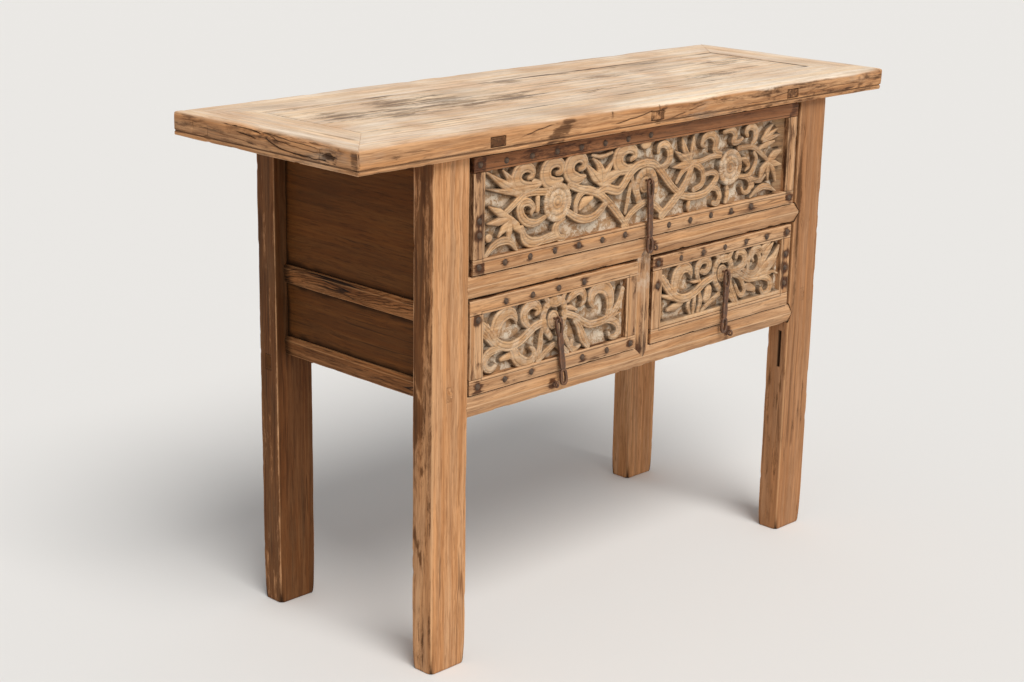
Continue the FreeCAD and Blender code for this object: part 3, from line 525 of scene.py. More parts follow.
def bar(axis, corners, start, end, rounds=2.5, step=5.0, steps=5.0, end_rounds=(1.0, 1.0), worn=0.7,
        chips=1.6, wobble=0.4, cut=None, stain=None, tan=None, extra=(), end_rub=0.5, seed=1):
    """A section carried along an axis, from start to end (numbers, or functions of the section's place,
    for a mitre). Each point then moves in along its normal by
    end rounding + worn * arris * noise + chips * arris * peaks of noise + wobble * noise + cut(place).
    cut gives the depth and the darkening in it (dirt, and painted shade in the lip groove and along the
    side panels' edges); stain and tan are shares of finish by place."""
    places, normals, arris = outline(corners, rounds, steps)
    one, two = [k for k in range(3) if k != axis]
    low, high = (limit(*places.T) if callable(limit) else np.full(len(places), float(limit))
                 for limit in (start, end))
    length = float(np.max(high - low))
    shares = [np.linspace(0, 1, max(2, int(math.ceil(length / step)) + 1)),
              end_rounds[0] * END_STEPS / length, 1 - end_rounds[1] * END_STEPS / length]
    shares += [(np.array(stretch, float) - low.min()) / length for stretch in extra]
    shares = np.unique(np.clip(np.concatenate(shares), 0, 1).round(6))
    along = low[None] + shares[:, None] * (high - low)[None]
    count, around = len(along), len(places)
    point = np.zeros(along.shape + (3,))
    point[..., axis], point[..., [one, two]] = along, places
    normal = np.zeros_like(point)
    normal[..., [one, two]] = normals
    depth = np.zeros_like(along)
    end_mask = np.zeros_like(along)
    for distance, radius in ((along - low, end_rounds[0]), (high - along, end_rounds[1])):
        gone = np.clip(radius - distance, 0, radius)
        depth = np.maximum(depth, radius - np.sqrt(np.clip(radius ** 2 - gone ** 2, 0, None)))
        end_mask = np.maximum(end_mask, end_rub * np.clip(1 - distance / (1.5 * radius + 1.0), 0, 1))
    mixed_place = point[..., one] * 0.031 + point[..., two] * 0.027
    depth += worn * arris * (0.55 + 0.45 * rolling(along / WORN_LENGTH, mixed_place, seed))
    peaks = rolling(along / CHIP_LENGTH, mixed_place * 4, seed + 5) - CHIP_START
    depth += chips * arris * (np.clip(peaks, 0, 1) / (1 - CHIP_START))
    depth += wobble * (0.5 + 0.5 * rolling(along / WOBBLE_LENGTH, mixed_place, seed + 9))
    recess = np.zeros_like(depth)
    if cut is not None:
        own, recess = cut(point[..., 0], point[..., 1], point[..., 2], normal)
        depth += own
    point = point - normal * depth[..., None]
    middles = np.array([point[0].mean(0), point[-1].mean(0)])
    caps = [[middle + (ring - middle) * share for share in CAP_SHARES]
            for middle, ring in zip(middles, (point[0], point[-1]))]
    rings = np.concatenate([caps[0][::-1], point, caps[1]])
    values = np.zeros((len(rings) * around + 2, 2))
    inside = slice(len(CAP_SHARES) * around, (len(CAP_SHARES) + count) * around)
    values[inside, 0], values[inside, 1] = np.maximum(arris, end_mask).ravel(), recess.ravel()
    quads, tris = tube(len(rings), around)
    points = np.concatenate([rings.reshape(-1, 3), middles])
    flat_normal = np.zeros_like(points)
    flat_normal[:-2, [one, two]] = np.tile(normals, (len(rings), 1))
    shape = {"points": points, "quads": quads, "tris": tris, "arris": values[:, 0], "recess": values[:, 1],
             "wood_place": points[:, [axis, one, two]] + seed * SEED_SHIFT}
    for key, share in (("stain", stain), ("tan", tan)):
        if share is not None:
            shape[key] = np.clip(share(*points.T, flat_normal), 0, 1)
    return outward(shape)


def tube(count, around, closed=False):
    """The faces of rings of points that stand one behind the other: quads, and for an open tube a fan of
    triangles at each end, round two middle points that follow the rings."""
    number = np.arange(count * around).reshape(count, around)
    turned = np.roll(number, -1, 1)
    keep = slice(None) if closed else slice(0, count - 1)
    onward, turned_onward = np.roll(number, -1, 0), np.roll(turned, -1, 0)
    quads = np.stack([number[keep], turned[keep], turned_onward[keep], onward[keep]], -1).reshape(-1, 4)
    if closed:
        return quads, np.zeros((0, 3), int)
    first = np.full(around, count * around)
    return quads, np.concatenate([np.stack([first, turned[0], number[0]], -1),
                                  np.stack([first + 1, number[-1], turned[-1]], -1)])


def outward(shape):
    """The shape with its faces outwards: a negative volume (sum of p0 . p1 x p2 / 6) means inwards."""
    p, q = shape["points"], shape["quads"]
    faces = np.concatenate([q[:, [0, 1, 2]], q[:, [0, 2, 3]], shape["tris"]])
    volume = np.einsum("ij,ij->i", p[faces[:, 0]], np.cross(p[faces[:, 1]], p[faces[:, 2]])).sum() / 6
    if volume < 0:
        shape["quads"] = q[:, ::-1]
        shape["tris"] = shape["tris"][:, ::-1]
    return shape


def oblong(u_low, u_high, v_low, v_high):
    """The four corners of a rectangular section."""
    return [(u_low, v_low), (u_high, v_low), (u_high, v_high), (u_low, v_high)]


def box_corners(low, high, axis):
    """The four corners of a box's section, across the given axis."""
    one, two = [k for k in range(3) if k != axis]
    return oblong(low[one], high[one], low[two], high[two])


def all_over(amount):
    """The same share of a finish on every face."""
    return lambda x, y, z, normal: np.full_like(x, amount)


print("a plain bar of 10 by 10 by 50 has", len(bar(2, oblong(0, 10, 0, 10), 0, 50)["points"]), "points")

# %% Meshes from shapes
SHARP_ANGLE = 42.0
pieces_made = {}


def make(name, shapes, finish, body="table", nodes=()):
    """One finished piece: the shapes' arrays are joined, put into a mesh with their attributes, and the
    piece rides on its body in the place of the solids that it stands for."""
    start, points, quads, tris = 0, [], [], []
    for shape in shapes:
        points.append(shape["points"])
        quads.append(shape["quads"] + start)
        tris.append(shape["tris"] + start)
        start += len(shape["points"])
    points, quads, tris = np.concatenate(points) * MM, np.concatenate(quads), np.concatenate(tris)
    mesh = bpy.data.meshes.new(name)
    mesh.vertices.add(len(points))
    mesh.vertices.foreach_set("co", points.astype(np.float32).ravel())
    mesh.loops.add(quads.size + tris.size)
    mesh.loops.foreach_set("vertex_index", np.concatenate([quads.ravel(), tris.ravel()]).astype(np.int32))
    mesh.polygons.add(len(quads) + len(tris))
    starts = np.concatenate([np.arange(len(quads)) * 4, quads.size + np.arange(len(tris)) * 3])
    mesh.polygons.foreach_set("loop_start", starts.astype(np.int32))
    mesh.update(calc_edges=True)
    mesh.validate()
    mesh.polygons.foreach_set("use_smooth", np.ones(len(mesh.polygons), bool))
    mesh.set_sharp_from_angle(angle=math.radians(SHARP_ANGLE))
    for key in ("arris", "recess", "stain", "tan", "wash"):
        layer = mesh.attributes.new(key, "FLOAT", "POINT")
        values = [s.get(key, np.zeros(len(s["points"]))) for s in shapes]
        layer.data.foreach_set("value", np.concatenate(values).astype(np.float32))
    layer = mesh.attributes.new("wood_place", "FLOAT_VECTOR", "POINT")
    wood = np.concatenate([s["wood_place"] for s in shapes]) * MM
    layer.data.foreach_set("vector", wood.astype(np.float32).ravel())
    mesh.materials.append(finishes[finish])
    piece = in_scene(name, mesh)
    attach(piece, body)
    if nodes:
        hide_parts(*nodes)
    pieces_made[name] = 2 * len(quads) + len(tris)


def dress(node, shapes, finish, body="table"):
    """A worn piece in the place of one solid."""
    make(node + "_worn", shapes, finish, body, [node])


print("edges stay sharp from", SHARP_ANGLE, "degrees")

# %% [markdown]
# ## The top
# Two long rails and two end members make a mitred frame round a floating board. The mitre needs no cut:
# each long line of a bar just starts and ends at its own place, worked out from how far across the section
# it is. A thin lip runs round the lower edge, under a groove. The rails' tenons come through the end
# members, and the battens' tenons through the rails, so those ends are separate blocks in shallow seats.

# %% Measures of the top
top_low, top_high = span("top_front_rail")
TOP_X, TOP_Y, TOP_Z = top_high[0], -top_low[1], top_high[2]
UNDERSIDE = top_low[2]
board_low, board_high = span("top_board")
TONGUE = 8.0
INNER_X, INNER_Y = board_high[0] - TONGUE, board_high[1] - TONGUE
LIP, LIP_GROOVE, LIP_DEPTH = 7.0, 1.5, 1.6
TENON_Y, TENON_HALF, TENON_RISE = 146.0, 18.0, 8.0
SEAT_GAP, SEAT_DEPTH = 0.9, 2.2
BATTEN_X, BATTEN_HALF, BATTEN_LOW, BATTEN_TOP = 356.0, 15.0, 813.0, 827.0
BATTEN_PLACES = (-BATTEN_X, 0, BATTEN_X)
MIDDLE_Z = (TOP_Z + UNDERSIDE) / 2
print("top", round(2 * TOP_X), "by", round(2 * TOP_Y), "by", round(TOP_Z - UNDERSIDE))


def seat(u, v, u_middle, v_middle, u_half, v_half, depth=SEAT_DEPTH):
    """The sunk seat of a tenon's end: full depth within the rectangle and none outside it."""
    inside = np.minimum(u_half + SEAT_GAP - np.abs(u - u_middle), v_half + SEAT_GAP - np.abs(v - v_middle))
    return depth * rise(inside, -0.35, 0.35)


def lip_groove_shade(z):
    """Painted shade in the groove above the lip, not the same everywhere."""
    return 0.62 * rise(1.2 - np.abs(z - UNDERSIDE - LIP - LIP_GROOVE / 2), 0, 0.6)


def lip_section(outer, inner):
    """The section of a frame member: square inside, with the lip and its groove outside."""
    in_a_bit = outer - math.copysign(LIP_DEPTH, outer)
    return [(inner, UNDERSIDE), (inner, TOP_Z), (outer, TOP_Z), (outer, UNDERSIDE + LIP + LIP_GROOVE),
            (in_a_bit, UNDERSIDE + LIP + LIP_GROOVE), (in_a_bit, UNDERSIDE + LIP), (outer, UNDERSIDE + LIP),
            (outer, UNDERSIDE)]


LIP_ROUNDS = (0.8, 1.0, 5.0, 0.5, 0.3, 0.3, 1.0, 1.4)
EDGE_STEPS = (8.0, 3.0, 0.7, 0.8, 0.8, 0.8, 1.2, 6.0)


def unbleached(x, y, z, normal):
    """1 on every face but the top, which alone was scrubbed and bleached; along the right half of the
    front the pale wood runs some way down over the worn arris."""
    over = (2.0 + 9.0 * rise(x, -160, 40) * rise(-y, 150, 190)) * (0.55 + 0.45 * rolling(x / 48, y / 60, 77))
    below = rise(TOP_Z - over - z, -2.5, 2.5)
    return np.maximum(below, 1 - rise(normal[:, 2], -0.4, -0.1))


EDGE_STAINS = ((-222, 22, 0.9), (8, 12, 0.6), (120, 50, 0.35), (305, 36, 0.62), (455, 50, 0.40),
               (565, 40, 0.62))


def edge_finish(x, y, z, normal):
    """Old stain on the upright faces: a thin even one, and some dark patches along the front and at the left
    end."""
    upright_face = 1 - rise(np.abs(normal[:, 2]), 0.3, 0.8)
    total = 0.07 + 0.16 * rolling(x / 50, y / 50 + z / 9, 79) + 0.24 * (x < -TOP_X + 4)
    total += 0.30 * rise(x, -40, 160) * rise(-y, 150, 190)
    for middle, reach, amount in EDGE_STAINS:
        shaped = np.exp(-((x - middle - 0.9 * (z - MIDDLE_Z)) / reach) ** 2)
        shaped = shaped * (0.8 + 0.4 * rolling(x / 8, z / 6, 51))
        total = np.maximum(total, amount * shaped * (y < -TOP_Y + 12))
    corner = np.exp(-((y + 205) / 12) ** 4 - ((z - 826) / 24) ** 2) * (x < -TOP_X + 14)
    corner = corner * rise(-normal[:, 0], 0.3, 0.8)
    rot = 0.5 * np.exp(-((y + 140) / 26) ** 2 - ((z - 822) / 14) ** 2) * (x < -TOP_X + 14)
    return upright_face * np.maximum(total, np.maximum(0.74 * corner, rot))


SMUDGES = (
    (-462, 8, 56, 60, 0.62), (-375, -24, 76, 50, 0.62), (-320, 50, 90, 50, 0.52), (-245, 6, 90, 86, 0.58),
    (-140, -20, 90, 56, 0.46), (-434, -150, 76, 28, 0.52), (-300, -150, 120, 24, 0.42),
    (-28, 98, 44, 16, 0.70), (-450, 106, 80, 10, 0.55), (60, -60, 170, 30, 0.42), (150, 40, 190, 28, 0.40),
    (330, -70, 130, 24, 0.42), (-60, -150, 170, 24, 0.38), (300, 100, 170, 16, 0.40),
    (430, 20, 70, 60, 0.38), (90, 110, 130, 10, 0.5), (-560, 20, 34, 110, 0.36), (560, 60, 34, 90, 0.38),
    (240, -170, 170, 16, 0.40), (520, -20, 80, 150, 0.33))


def smudged_top(x, y, z, normal):
    """Grey-brown smudges on the top, each an ellipse along the grain that the shader then makes ragged."""
    total = np.zeros_like(x)
    for middle_x, middle_y, reach_x, reach_y, amount in SMUDGES:
        away = -((x - middle_x) / reach_x) ** 2 - ((y - middle_y) / reach_y) ** 2
        total = np.maximum(total, amount * np.exp(away))
    return total * rise(normal[:, 2], 0.3, 0.8)

# %% Cracks and seams
FRONT_CRACKS = (
    (((-335, 817), (-300, 822), (-270, 828), (-235, 833)), 0.8, 1.8),
    (((-104, 817), (-73, 820), (-38, 824), (-6, 829)), 0.9, 2.0),
    (((27, 811), (84, 820), (127, 827)), 0.8, 1.6), (((290, 816), (340, 824), (400, 828)), 0.7, 1.4),
    (((-600, 823), (-540, 826), (-480, 822)), 0.6, 1.0),
    (((430, 818), (500, 822), (560, 820)), 0.6, 1.2), (((150, 812), (210, 815), (280, 814)), 0.6, 1.2))
LEFT_CRACKS = (
    (((-112, 813), (-42, 818), (4, 831), (56, 839)), 1.0, 2.6),
    (((-166, 812), (-47, 817), (-6, 822), (31, 826), (64, 830)), 0.8, 2.2),
    (((-132, 829), (-60, 832), (0, 835), (60, 836), (112, 838)), 0.6, 1.6),
    (((-172, 821), (-80, 825), (-20, 828)), 0.6, 1.4), (((132, 833), (206, 828)), 0.6, 1.2),
    (((-70, 826), (-30, 829), (20, 838)), 0.6, 1.6), (((10, 815), (60, 818), (110, 822)), 0.5, 1.0))
TEARS = ((-108, 0.10, 823, 2.2), (6, -0.12, 815, 1.2))


def cracked(along, z, lines):
    """How deep the cracks are at a place. A crack is (points, half width, depth); it wanders a little round
    the line through its points, thins out at both ends and is broken in places."""
    total = np.zeros_like(along)
    for points, half_width, deep in lines:
        places, heights = np.array(points, float).T
        line = np.interp(along, places, heights) + 0.9 * rolling(along / 13, along * 0, heights[0])
        shown = rise(along, places[0], places[0] + 14) * rise(-along, -places[-1], -places[-1] + 14)
        shown = shown * rise(rolling(along / 25, along * 0, heights[0] + 3), -0.75, -0.35)
        total = np.maximum(total, shown * deep * np.exp(-((z - line) / half_width) ** 2))
    return total


def seam(x, y):
    """Dirt in the seam round the board, in stretches. The seam is wider at the back and at the right end,
    and tight at the left end."""
    gap = np.maximum(np.abs(x) - INNER_X, np.abs(y) - INNER_Y)
    open_share = 0.35 + 0.65 * rise(rolling(x / 60, y / 60, 95), -0.5, 0.3)
    wide = 1.0 + 1.6 * rise(y, 0, 20) + 1.2 * rise(x, INNER_X - 20, INNER_X - 5)
    return rise(-np.abs(gap), -0.9 * wide - 0.6, -0.7 * wide) * open_share * (
        0.25 + 0.75 * rise(x, -INNER_X - 2, -INNER_X + 40))


END_SLANT = 7.0
CORNER_ROUNDS = {(-1, -1): 3.0, (-1, 1): 4.0, (1, 1): 7.0, (1, -1): 5.0}


def worn_outline(shape):
    """The right end worn back, most at its underside, and the top's four corners worn round. Seen from
    above, the square of side R at a corner becomes a quarter disc: with a and b from 0 to 1 outwards, the
    new place is (a sqrt(1 - b^2 / 2), b sqrt(1 - a^2 / 2)). All pieces share the one mapping, so the mitres
    stay closed."""
    x, y, z = shape["points"].T
    x = x - END_SLANT * np.clip((TOP_Z - 8 - z) / 30, 0, 1) ** 1.3 * rise(x, TOP_X - 60, TOP_X - 2)
    for (side_x, side_y), radius in CORNER_ROUNDS.items():
        middle_x, middle_y = side_x * (TOP_X - radius), side_y * (TOP_Y - radius)
        a, b = side_x * (x - middle_x) / radius, side_y * (y - middle_y) / radius
        near = (a > 0) & (b > 0)
        bent_x = middle_x + side_x * radius * a * np.sqrt(np.clip(1 - b ** 2 / 2, 0, 1))
        bent_y = middle_y + side_y * radius * b * np.sqrt(np.clip(1 - a ** 2 / 2, 0, 1))
        x, y = np.where(near, bent_x, x), np.where(near, bent_y, y)
    return {**shape, "points": np.stack([x, y, z], -1)}


def rail_cut(side):
    """The seats of the batten tenons, and a wavy, bruised arris. On the front rail it is worn lower towards
    the right, and there are cracks and two short tears."""
    def depth(x, y, z, normal):
        outer_face = rise(side * normal[..., 1], 0.7, 0.95)
        total = np.zeros_like(x)
        for middle in BATTEN_PLACES:
            total += outer_face * seat(x, z, middle, (BATTEN_LOW + BATTEN_TOP) / 2, BATTEN_HALF,
                                       (BATTEN_TOP - BATTEN_LOW) / 2)
        dirt = np.clip(total / 2, 0, 1) + 0.95 * seam(x, y) * rise(z, TOP_Z - 3, TOP_Z - 1.5) + lip_groove_shade(z)
        near_arris = rise(TOP_Z - z, 15, 0) * rise(side * y, TOP_Y - 20, TOP_Y)
        bruises = np.clip(rolling(x / 26, z * 0.05, 31) - 0.1, 0, 1)
        waves = 0.5 + 0.5 * rolling(x / 85, z * 0, 33)
        more = 0.35 + 0.65 * rise(x, -150, 60) if side < 0 else 0.4
        total += near_arris * (1.4 * bruises + 4.6 * waves * more)
        if side < 0:
            torn = outer_face * cracked(x, z, FRONT_CRACKS)
            for place, lean, above, deep in TEARS:
                tear = np.exp(-((x - place - lean * (z - 825)) / 1.3) ** 2) * rise(z, above, above + 5)
                torn = np.maximum(torn, deep * tear * outer_face)
            total += torn
            dirt += 0.55 * torn
        return total, np.clip(dirt, 0, 1)
    return depth


print("cracks in the front edge and the left end:", len(FRONT_CRACKS), len(LEFT_CRACKS))

# %% Long rails
for side, place_name in ((-1, "front"), (1, "back")):
    mitre = lambda y, z: TOP_X - (TOP_Y - np.abs(y)) / (TOP_Y - INNER_Y) * (TOP_X - INNER_X)
    near_battens = [np.arange(middle - BATTEN_HALF - 3, middle + BATTEN_HALF + 3, 0.9)
                    for middle in BATTEN_PLACES]
    near_battens += [np.arange(TOP_X - 15, TOP_X, 1.2), -np.arange(TOP_X - 7, TOP_X, 1.2)]
    body_bar = bar(0, lip_section(side * TOP_Y, side * INNER_Y), lambda y, z: -mitre(y, z), mitre,
                   rounds=LIP_ROUNDS, step=3.0 if side < 0 else 6.0, steps=EDGE_STEPS, worn=0.8, chips=1.2,
                   wobble=0.5, cut=rail_cut(side), stain=edge_finish, tan=unbleached, extra=near_battens,
                   seed=3 + side)
    ends = [bar(0, oblong(side * TENON_Y - TENON_HALF, side * TENON_Y + TENON_HALF, MIDDLE_Z - TENON_RISE,
                          MIDDLE_Z + TENON_RISE),
                -TOP_X + 9.0 if end < 0 else INNER_X + 30, -INNER_X - 30 if end < 0 else TOP_X - 0.6,
                rounds=2.5, step=20, steps=2.0, worn=0.3, end_rub=0.0, seed=8 + side + end,
                stain=all_over(0.8 if side < 0 else 0.42), tan=all_over(1.0)) for end in (-1, 1)]
    dress(f"top_{place_name}_rail", [worn_outline(shape) for shape in [body_bar] + ends], "bleached_elm")
print("long rails made")

# %% End members
def end_cut(side):
    """The right end has the seats of the rail tenons and a wavy arris. At the left the tenons are flush and
    worn: a broken outline in a shallow dish, with a hollow in the front one. There are also cracks that
    run with the grain, and eroded wood along the upper arris."""
    def depth(x, y, z, normal):
        outer_face = rise(side * normal[..., 0], 0.7, 0.95)
        total = np.zeros_like(x)
        for middle in (-TENON_Y, TENON_Y):
            total += outer_face * (side > 0) * seat(y, z, middle, MIDDLE_Z, TENON_HALF, TENON_RISE)
        old_dirt = np.zeros_like(x)
        if side < 0:
            for middle, sunk in ((-TENON_Y, 3.0), (TENON_Y, 0.8)):
                inside = np.minimum(TENON_HALF - np.abs(y - middle), TENON_RISE - np.abs(z - MIDDLE_Z))
                line = np.exp(-((inside + 0.8 * rolling(y / 7, z / 7, 48)) / 0.9) ** 2)
                line = line * (0.35 + 0.65 * rise(rolling(y / 8, z / 8, 46), -0.4, 0.3))
                ring = np.hypot((y - middle) / (TENON_HALF + 4), (z - MIDDLE_Z) / (TENON_RISE + 3.5))
                ring = ring + 0.16 * rolling(y / 9, z / 5, 49)
                dish = outer_face * (1 - rise(ring, 0.55, 1.15))
                total = np.maximum(total, sunk * dish + 0.7 * line * outer_face)
                old_dirt = np.maximum(old_dirt, outer_face * np.maximum(0.62 * line, 0.05 * sunk * dish))
            hollow = np.hypot((y + TENON_Y) / 12, (z - MIDDLE_Z) / 5.5) + 0.28 * rolling(y / 6, z / 4, 44)
            hollow = outer_face * (1 - rise(hollow, 0.75, 1.15))
            total = np.maximum(total, 5.5 * hollow)
            old_dirt = np.maximum(old_dirt, 0.92 * hollow)
        dirt = np.clip(total / 2, 0, 1) * (side > 0) + old_dirt
        dirt = dirt + 0.95 * seam(x, y) * rise(z, TOP_Z - 3, TOP_Z - 1.5) + lip_groove_shade(z)
        if side < 0:
            near_edge = rise(-x, TOP_X - 13, TOP_X - 1)
            reach = rise(y, -176, -120) * rise(-y, -100, -50)
            lower_limit = TOP_Z - 10 + 6 * rolling(y / 45, y * 0, 41)
            torn = reach * rise(z, lower_limit - 3.5, lower_limit + 3.5) * near_edge
            fibres = rolling(y / 30, z / 1.8, 43) + 0.6 * rolling(y / 9, z / 1.1, 47)
            total += torn * (3.4 + 1.3 * fibres + 1.2 * rolling(y / 20, y * 0, 45))
            dirt += torn * np.clip(-fibres - 0.15, 0, 1) * 0.8
            crack = outer_face * cracked(y, z, LEFT_CRACKS)
            total += crack
            dirt += 0.5 * crack
        else:
            near_arris = rise(TOP_Z - z, 15, 0) * rise(x, TOP_X - 20, TOP_X)
            total += near_arris * (1.2 + 1.4 * rolling(y / 60, y * 0, 35))
        return total, np.clip(dirt, 0, 1)
    return depth


for side, place_name in ((-1, "left"), (1, "right")):
    mitre = lambda x, z: TOP_Y - (TOP_X - np.abs(x)) / (TOP_X - INNER_X) * (TOP_Y - INNER_Y)
    near_tenons = [np.arange(middle - TENON_HALF - 3, middle + TENON_HALF + 3, 0.9)
                   for middle in (-TENON_Y, TENON_Y)]
    near_tenons += [-np.arange(TOP_Y - 15, TOP_Y, 1.2), np.arange(TOP_Y - 10, TOP_Y, 1.2)]
    if side < 0:
        near_tenons.append(np.arange(-180, 115, 1.2))
    end_bar = bar(1, lip_section(side * TOP_X, side * INNER_X), lambda x, z: -mitre(x, z), mitre,
                  rounds=LIP_ROUNDS, step=5.0, steps=EDGE_STEPS, worn=0.8, chips=1.4, wobble=0.5,
                  cut=end_cut(side), stain=edge_finish, tan=unbleached, extra=near_tenons, seed=13 + side)
    dress(f"top_{place_name}_end", [worn_outline(end_bar)], "bleached_elm")
print("end members made")

# %% Board and battens
RIGHT_GAP = 4.0
BOARD_Z = board_low[2]
BATTEN_STAINS = (0.95, 0.5, 0.75)
board_bar = bar(0, oblong(-INNER_Y, INNER_Y, BOARD_Z, TOP_Z), -INNER_X, INNER_X - RIGHT_GAP,
                rounds=(0.6, 0.6, 1.3, 1.3), step=6.0, steps=6.0, worn=0.5, chips=1.0, wobble=0.5,
                stain=smudged_top, tan=unbleached, seed=21,
                cut=lambda x, y, z, normal: (np.zeros_like(x), 0.95 * seam(x, y)))
tongue_bar = bar(0, oblong(-INNER_Y, INNER_Y, BOARD_Z + 3, BOARD_Z + 8), INNER_X - RIGHT_GAP - 3,
                 INNER_X + TONGUE - 1, rounds=0.5, step=8.0, steps=8.0, seed=21, stain=all_over(1.0))
dress("top_board", [board_bar, tongue_bar], "bleached_elm")

battens = []
batten_base = span("top_battens")[0][2]
for k, middle in enumerate(BATTEN_PLACES):
    left, right = middle - BATTEN_HALF, middle + BATTEN_HALF
    battens.append(bar(1, oblong(left, right, batten_base, BOARD_Z - 0.1), -INNER_Y, INNER_Y, rounds=1.5,
                       step=9.0, seed=25 + k))
    battens.append(bar(1, oblong(left, right, BATTEN_LOW, BATTEN_TOP), -TOP_Y + 0.9, TOP_Y - 0.9,
                       rounds=1.6, step=20.0, steps=2.0, end_rub=0.0, seed=29 + k,
                       stain=all_over(BATTEN_STAINS[k]), tan=all_over(1.0)))
dress("top_battens", battens, "bleached_elm")
print("board and battens made")

# %% [markdown]
# ## Legs
# The legs are straight posts whose arrises have been rubbed round and whose feet are bruised. Their front
# faces are bleached while the faces towards the sides kept their dark stain, so the stain is a value that
# follows each face's own direction. The front legs still have the stopped groove that once held an apron,
# and the ends of the lower rails' tenons show in the outer faces.

# %% Legs
APRON_Y, APRON_HALF, APRON_LOW, APRON_HIGH, APRON_DEPTH = -183.0, 3.0, 314.0, 382.0, 7.5
SIDE_TENON_X, SIDE_TENON_HALF, SIDE_TENON_LOW, SIDE_TENON_HIGH = 437.0, 6.5, 436.0, 459.0
BACK_TENON_Y, BACK_TENON_LOW, BACK_TENON_HIGH = 189.0, 405.0, 430.0
FOOT_WEAR, FOOT_HEIGHT = 4.5, 14.0
LEG_CRACK_X, LEG_CRACK_LOW, LEG_CRACK_HIGH = -455, 118, 200
KEEL = 3.5
LEG_IN = -span("front_left_leg")[1][0]
RAIL_POINTS = {"front_mid_rail": (2.5, 12.0), "front_bottom_rail": (2.5, 8.0)}
RAIL_SPANS = [(span(node)[0][2], span(node)[1][2], *points) for node, points in RAIL_POINTS.items()]


def facing(normal, axis, side):
    """1 on the faces that look along an axis, to the side given by a sign."""
    return rise(side * normal[..., axis], 0.8, 0.98)


def leg_cut(low, high, front, right):
    """The foot's bruised corners, the apron's groove, the seats of the through tenons, and the notches that
    take the pointed ends of the front rails. Gives the depth and the dirt, which is thickest beside the
    panel on the rear left leg."""
    outer = 1 if right else -1

    def depth(x, y, z, normal):
        to_corner = np.hypot(np.minimum(x - low[0], high[0] - x), np.minimum(y - low[1], high[1] - y))
        total = FOOT_WEAR * np.exp(-z / FOOT_HEIGHT) * rise(-to_corner, -9, 0)
        seats = seat(x, z, outer * SIDE_TENON_X, (SIDE_TENON_LOW + SIDE_TENON_HIGH) / 2, SIDE_TENON_HALF,
                     (SIDE_TENON_HIGH - SIDE_TENON_LOW) / 2, 0.7)
        if front:
            worn_seats = seats * (0.3 + 0.7 * rise(rolling(x / 6, z / 6, 58), -0.5, 0.3))
            total += facing(normal, 1, -1) * worn_seats
            groove = rise(np.minimum(APRON_HALF - np.abs(y - APRON_Y),
                                     np.minimum(z - APRON_LOW, APRON_HIGH - z)), -0.4, 0.4)
            total += facing(normal, 0, -outer) * groove * APRON_DEPTH
            dirt = np.clip(total / 2.5, 0, 1)
            if not right:
                crack = rise(1.3 - np.abs(x - LEG_CRACK_X - 1.2 * rolling(z / 24, z * 0, 59)), 0, 1)
                crack = crack * rise(z, LEG_CRACK_LOW, LEG_CRACK_LOW + 16)
                crack = crack * rise(-z, -LEG_CRACK_HIGH, 16 - LEG_CRACK_HIGH) * facing(normal, 1, -1)
                total, dirt = total + 0.8 * crack, np.maximum(dirt, 0.7 * crack)
            near_front = rise(-y, -low[1] - 7, -low[1] - 5)
            for rail_low, rail_high, *points in RAIL_SPANS:
                half = (rail_high - rail_low) / 2
                inside = half - np.abs(z - rail_low - half) - (outer * x - LEG_IN) / points[right] * half
                total += near_front * rise(inside, -0.3, 0.7) * (KEEL + 1.2)
                dirt = np.maximum(dirt, near_front * rise(inside, -2.4, -0.6))
        else:
            total += facing(normal, 1, 1) * seats
            total += facing(normal, 0, outer) * seat(
                y, z, BACK_TENON_Y, (BACK_TENON_LOW + BACK_TENON_HIGH) / 2, SIDE_TENON_HALF,
                (BACK_TENON_HIGH - BACK_TENON_LOW) / 2, 0.9)
            dirt = np.clip(total / 2, 0, 1)
            if not right:
                beside = rise(x, high[0] - 34, high[0] - 8) * (0.5 + 0.5 * rolling(z / 42, x / 11, 57))
                shown = facing(normal, 1, -1) * rise(z, 400, 440)
                dirt = np.maximum(dirt, shown * (0.20 + 0.62 * beside))
        return total, dirt
    return depth


def leg_stain(side_share, front_share, back_share, cleaner_below, grime=(), pale_arris=None):
    """How dark each face of a leg is: less so below a height, a little more right under the top, with
    patches of grime, each a place and a reach along and across, and one arris that was rubbed clean."""
    def share(x, y, z, normal):
        sides = np.abs(normal[:, 0]) * side_share
        fronts = np.clip(-normal[:, 1], 0, 1) * front_share + np.clip(normal[:, 1], 0, 1) * back_share
        below = rise(-z, -cleaner_below - 130, -cleaner_below + 130)
        total = (sides ** 2 + fronts ** 2) ** 0.5 * (1 - 0.30 * below)
        total = total + 0.3 * rise(z, 760, 800) * (sides > 0.1)
        for px, py, pz, along, around in grime:
            total += 0.6 * np.exp(-((z - pz) / along) ** 2 - ((x - px) ** 2 + (y - py) ** 2) / around ** 2)
        if pale_arris is not None:
            total *= 1 - 0.75 * np.exp(-((x - pale_arris[0]) ** 2 + (y - pale_arris[1]) ** 2) / 6.0)
        return total
    return share


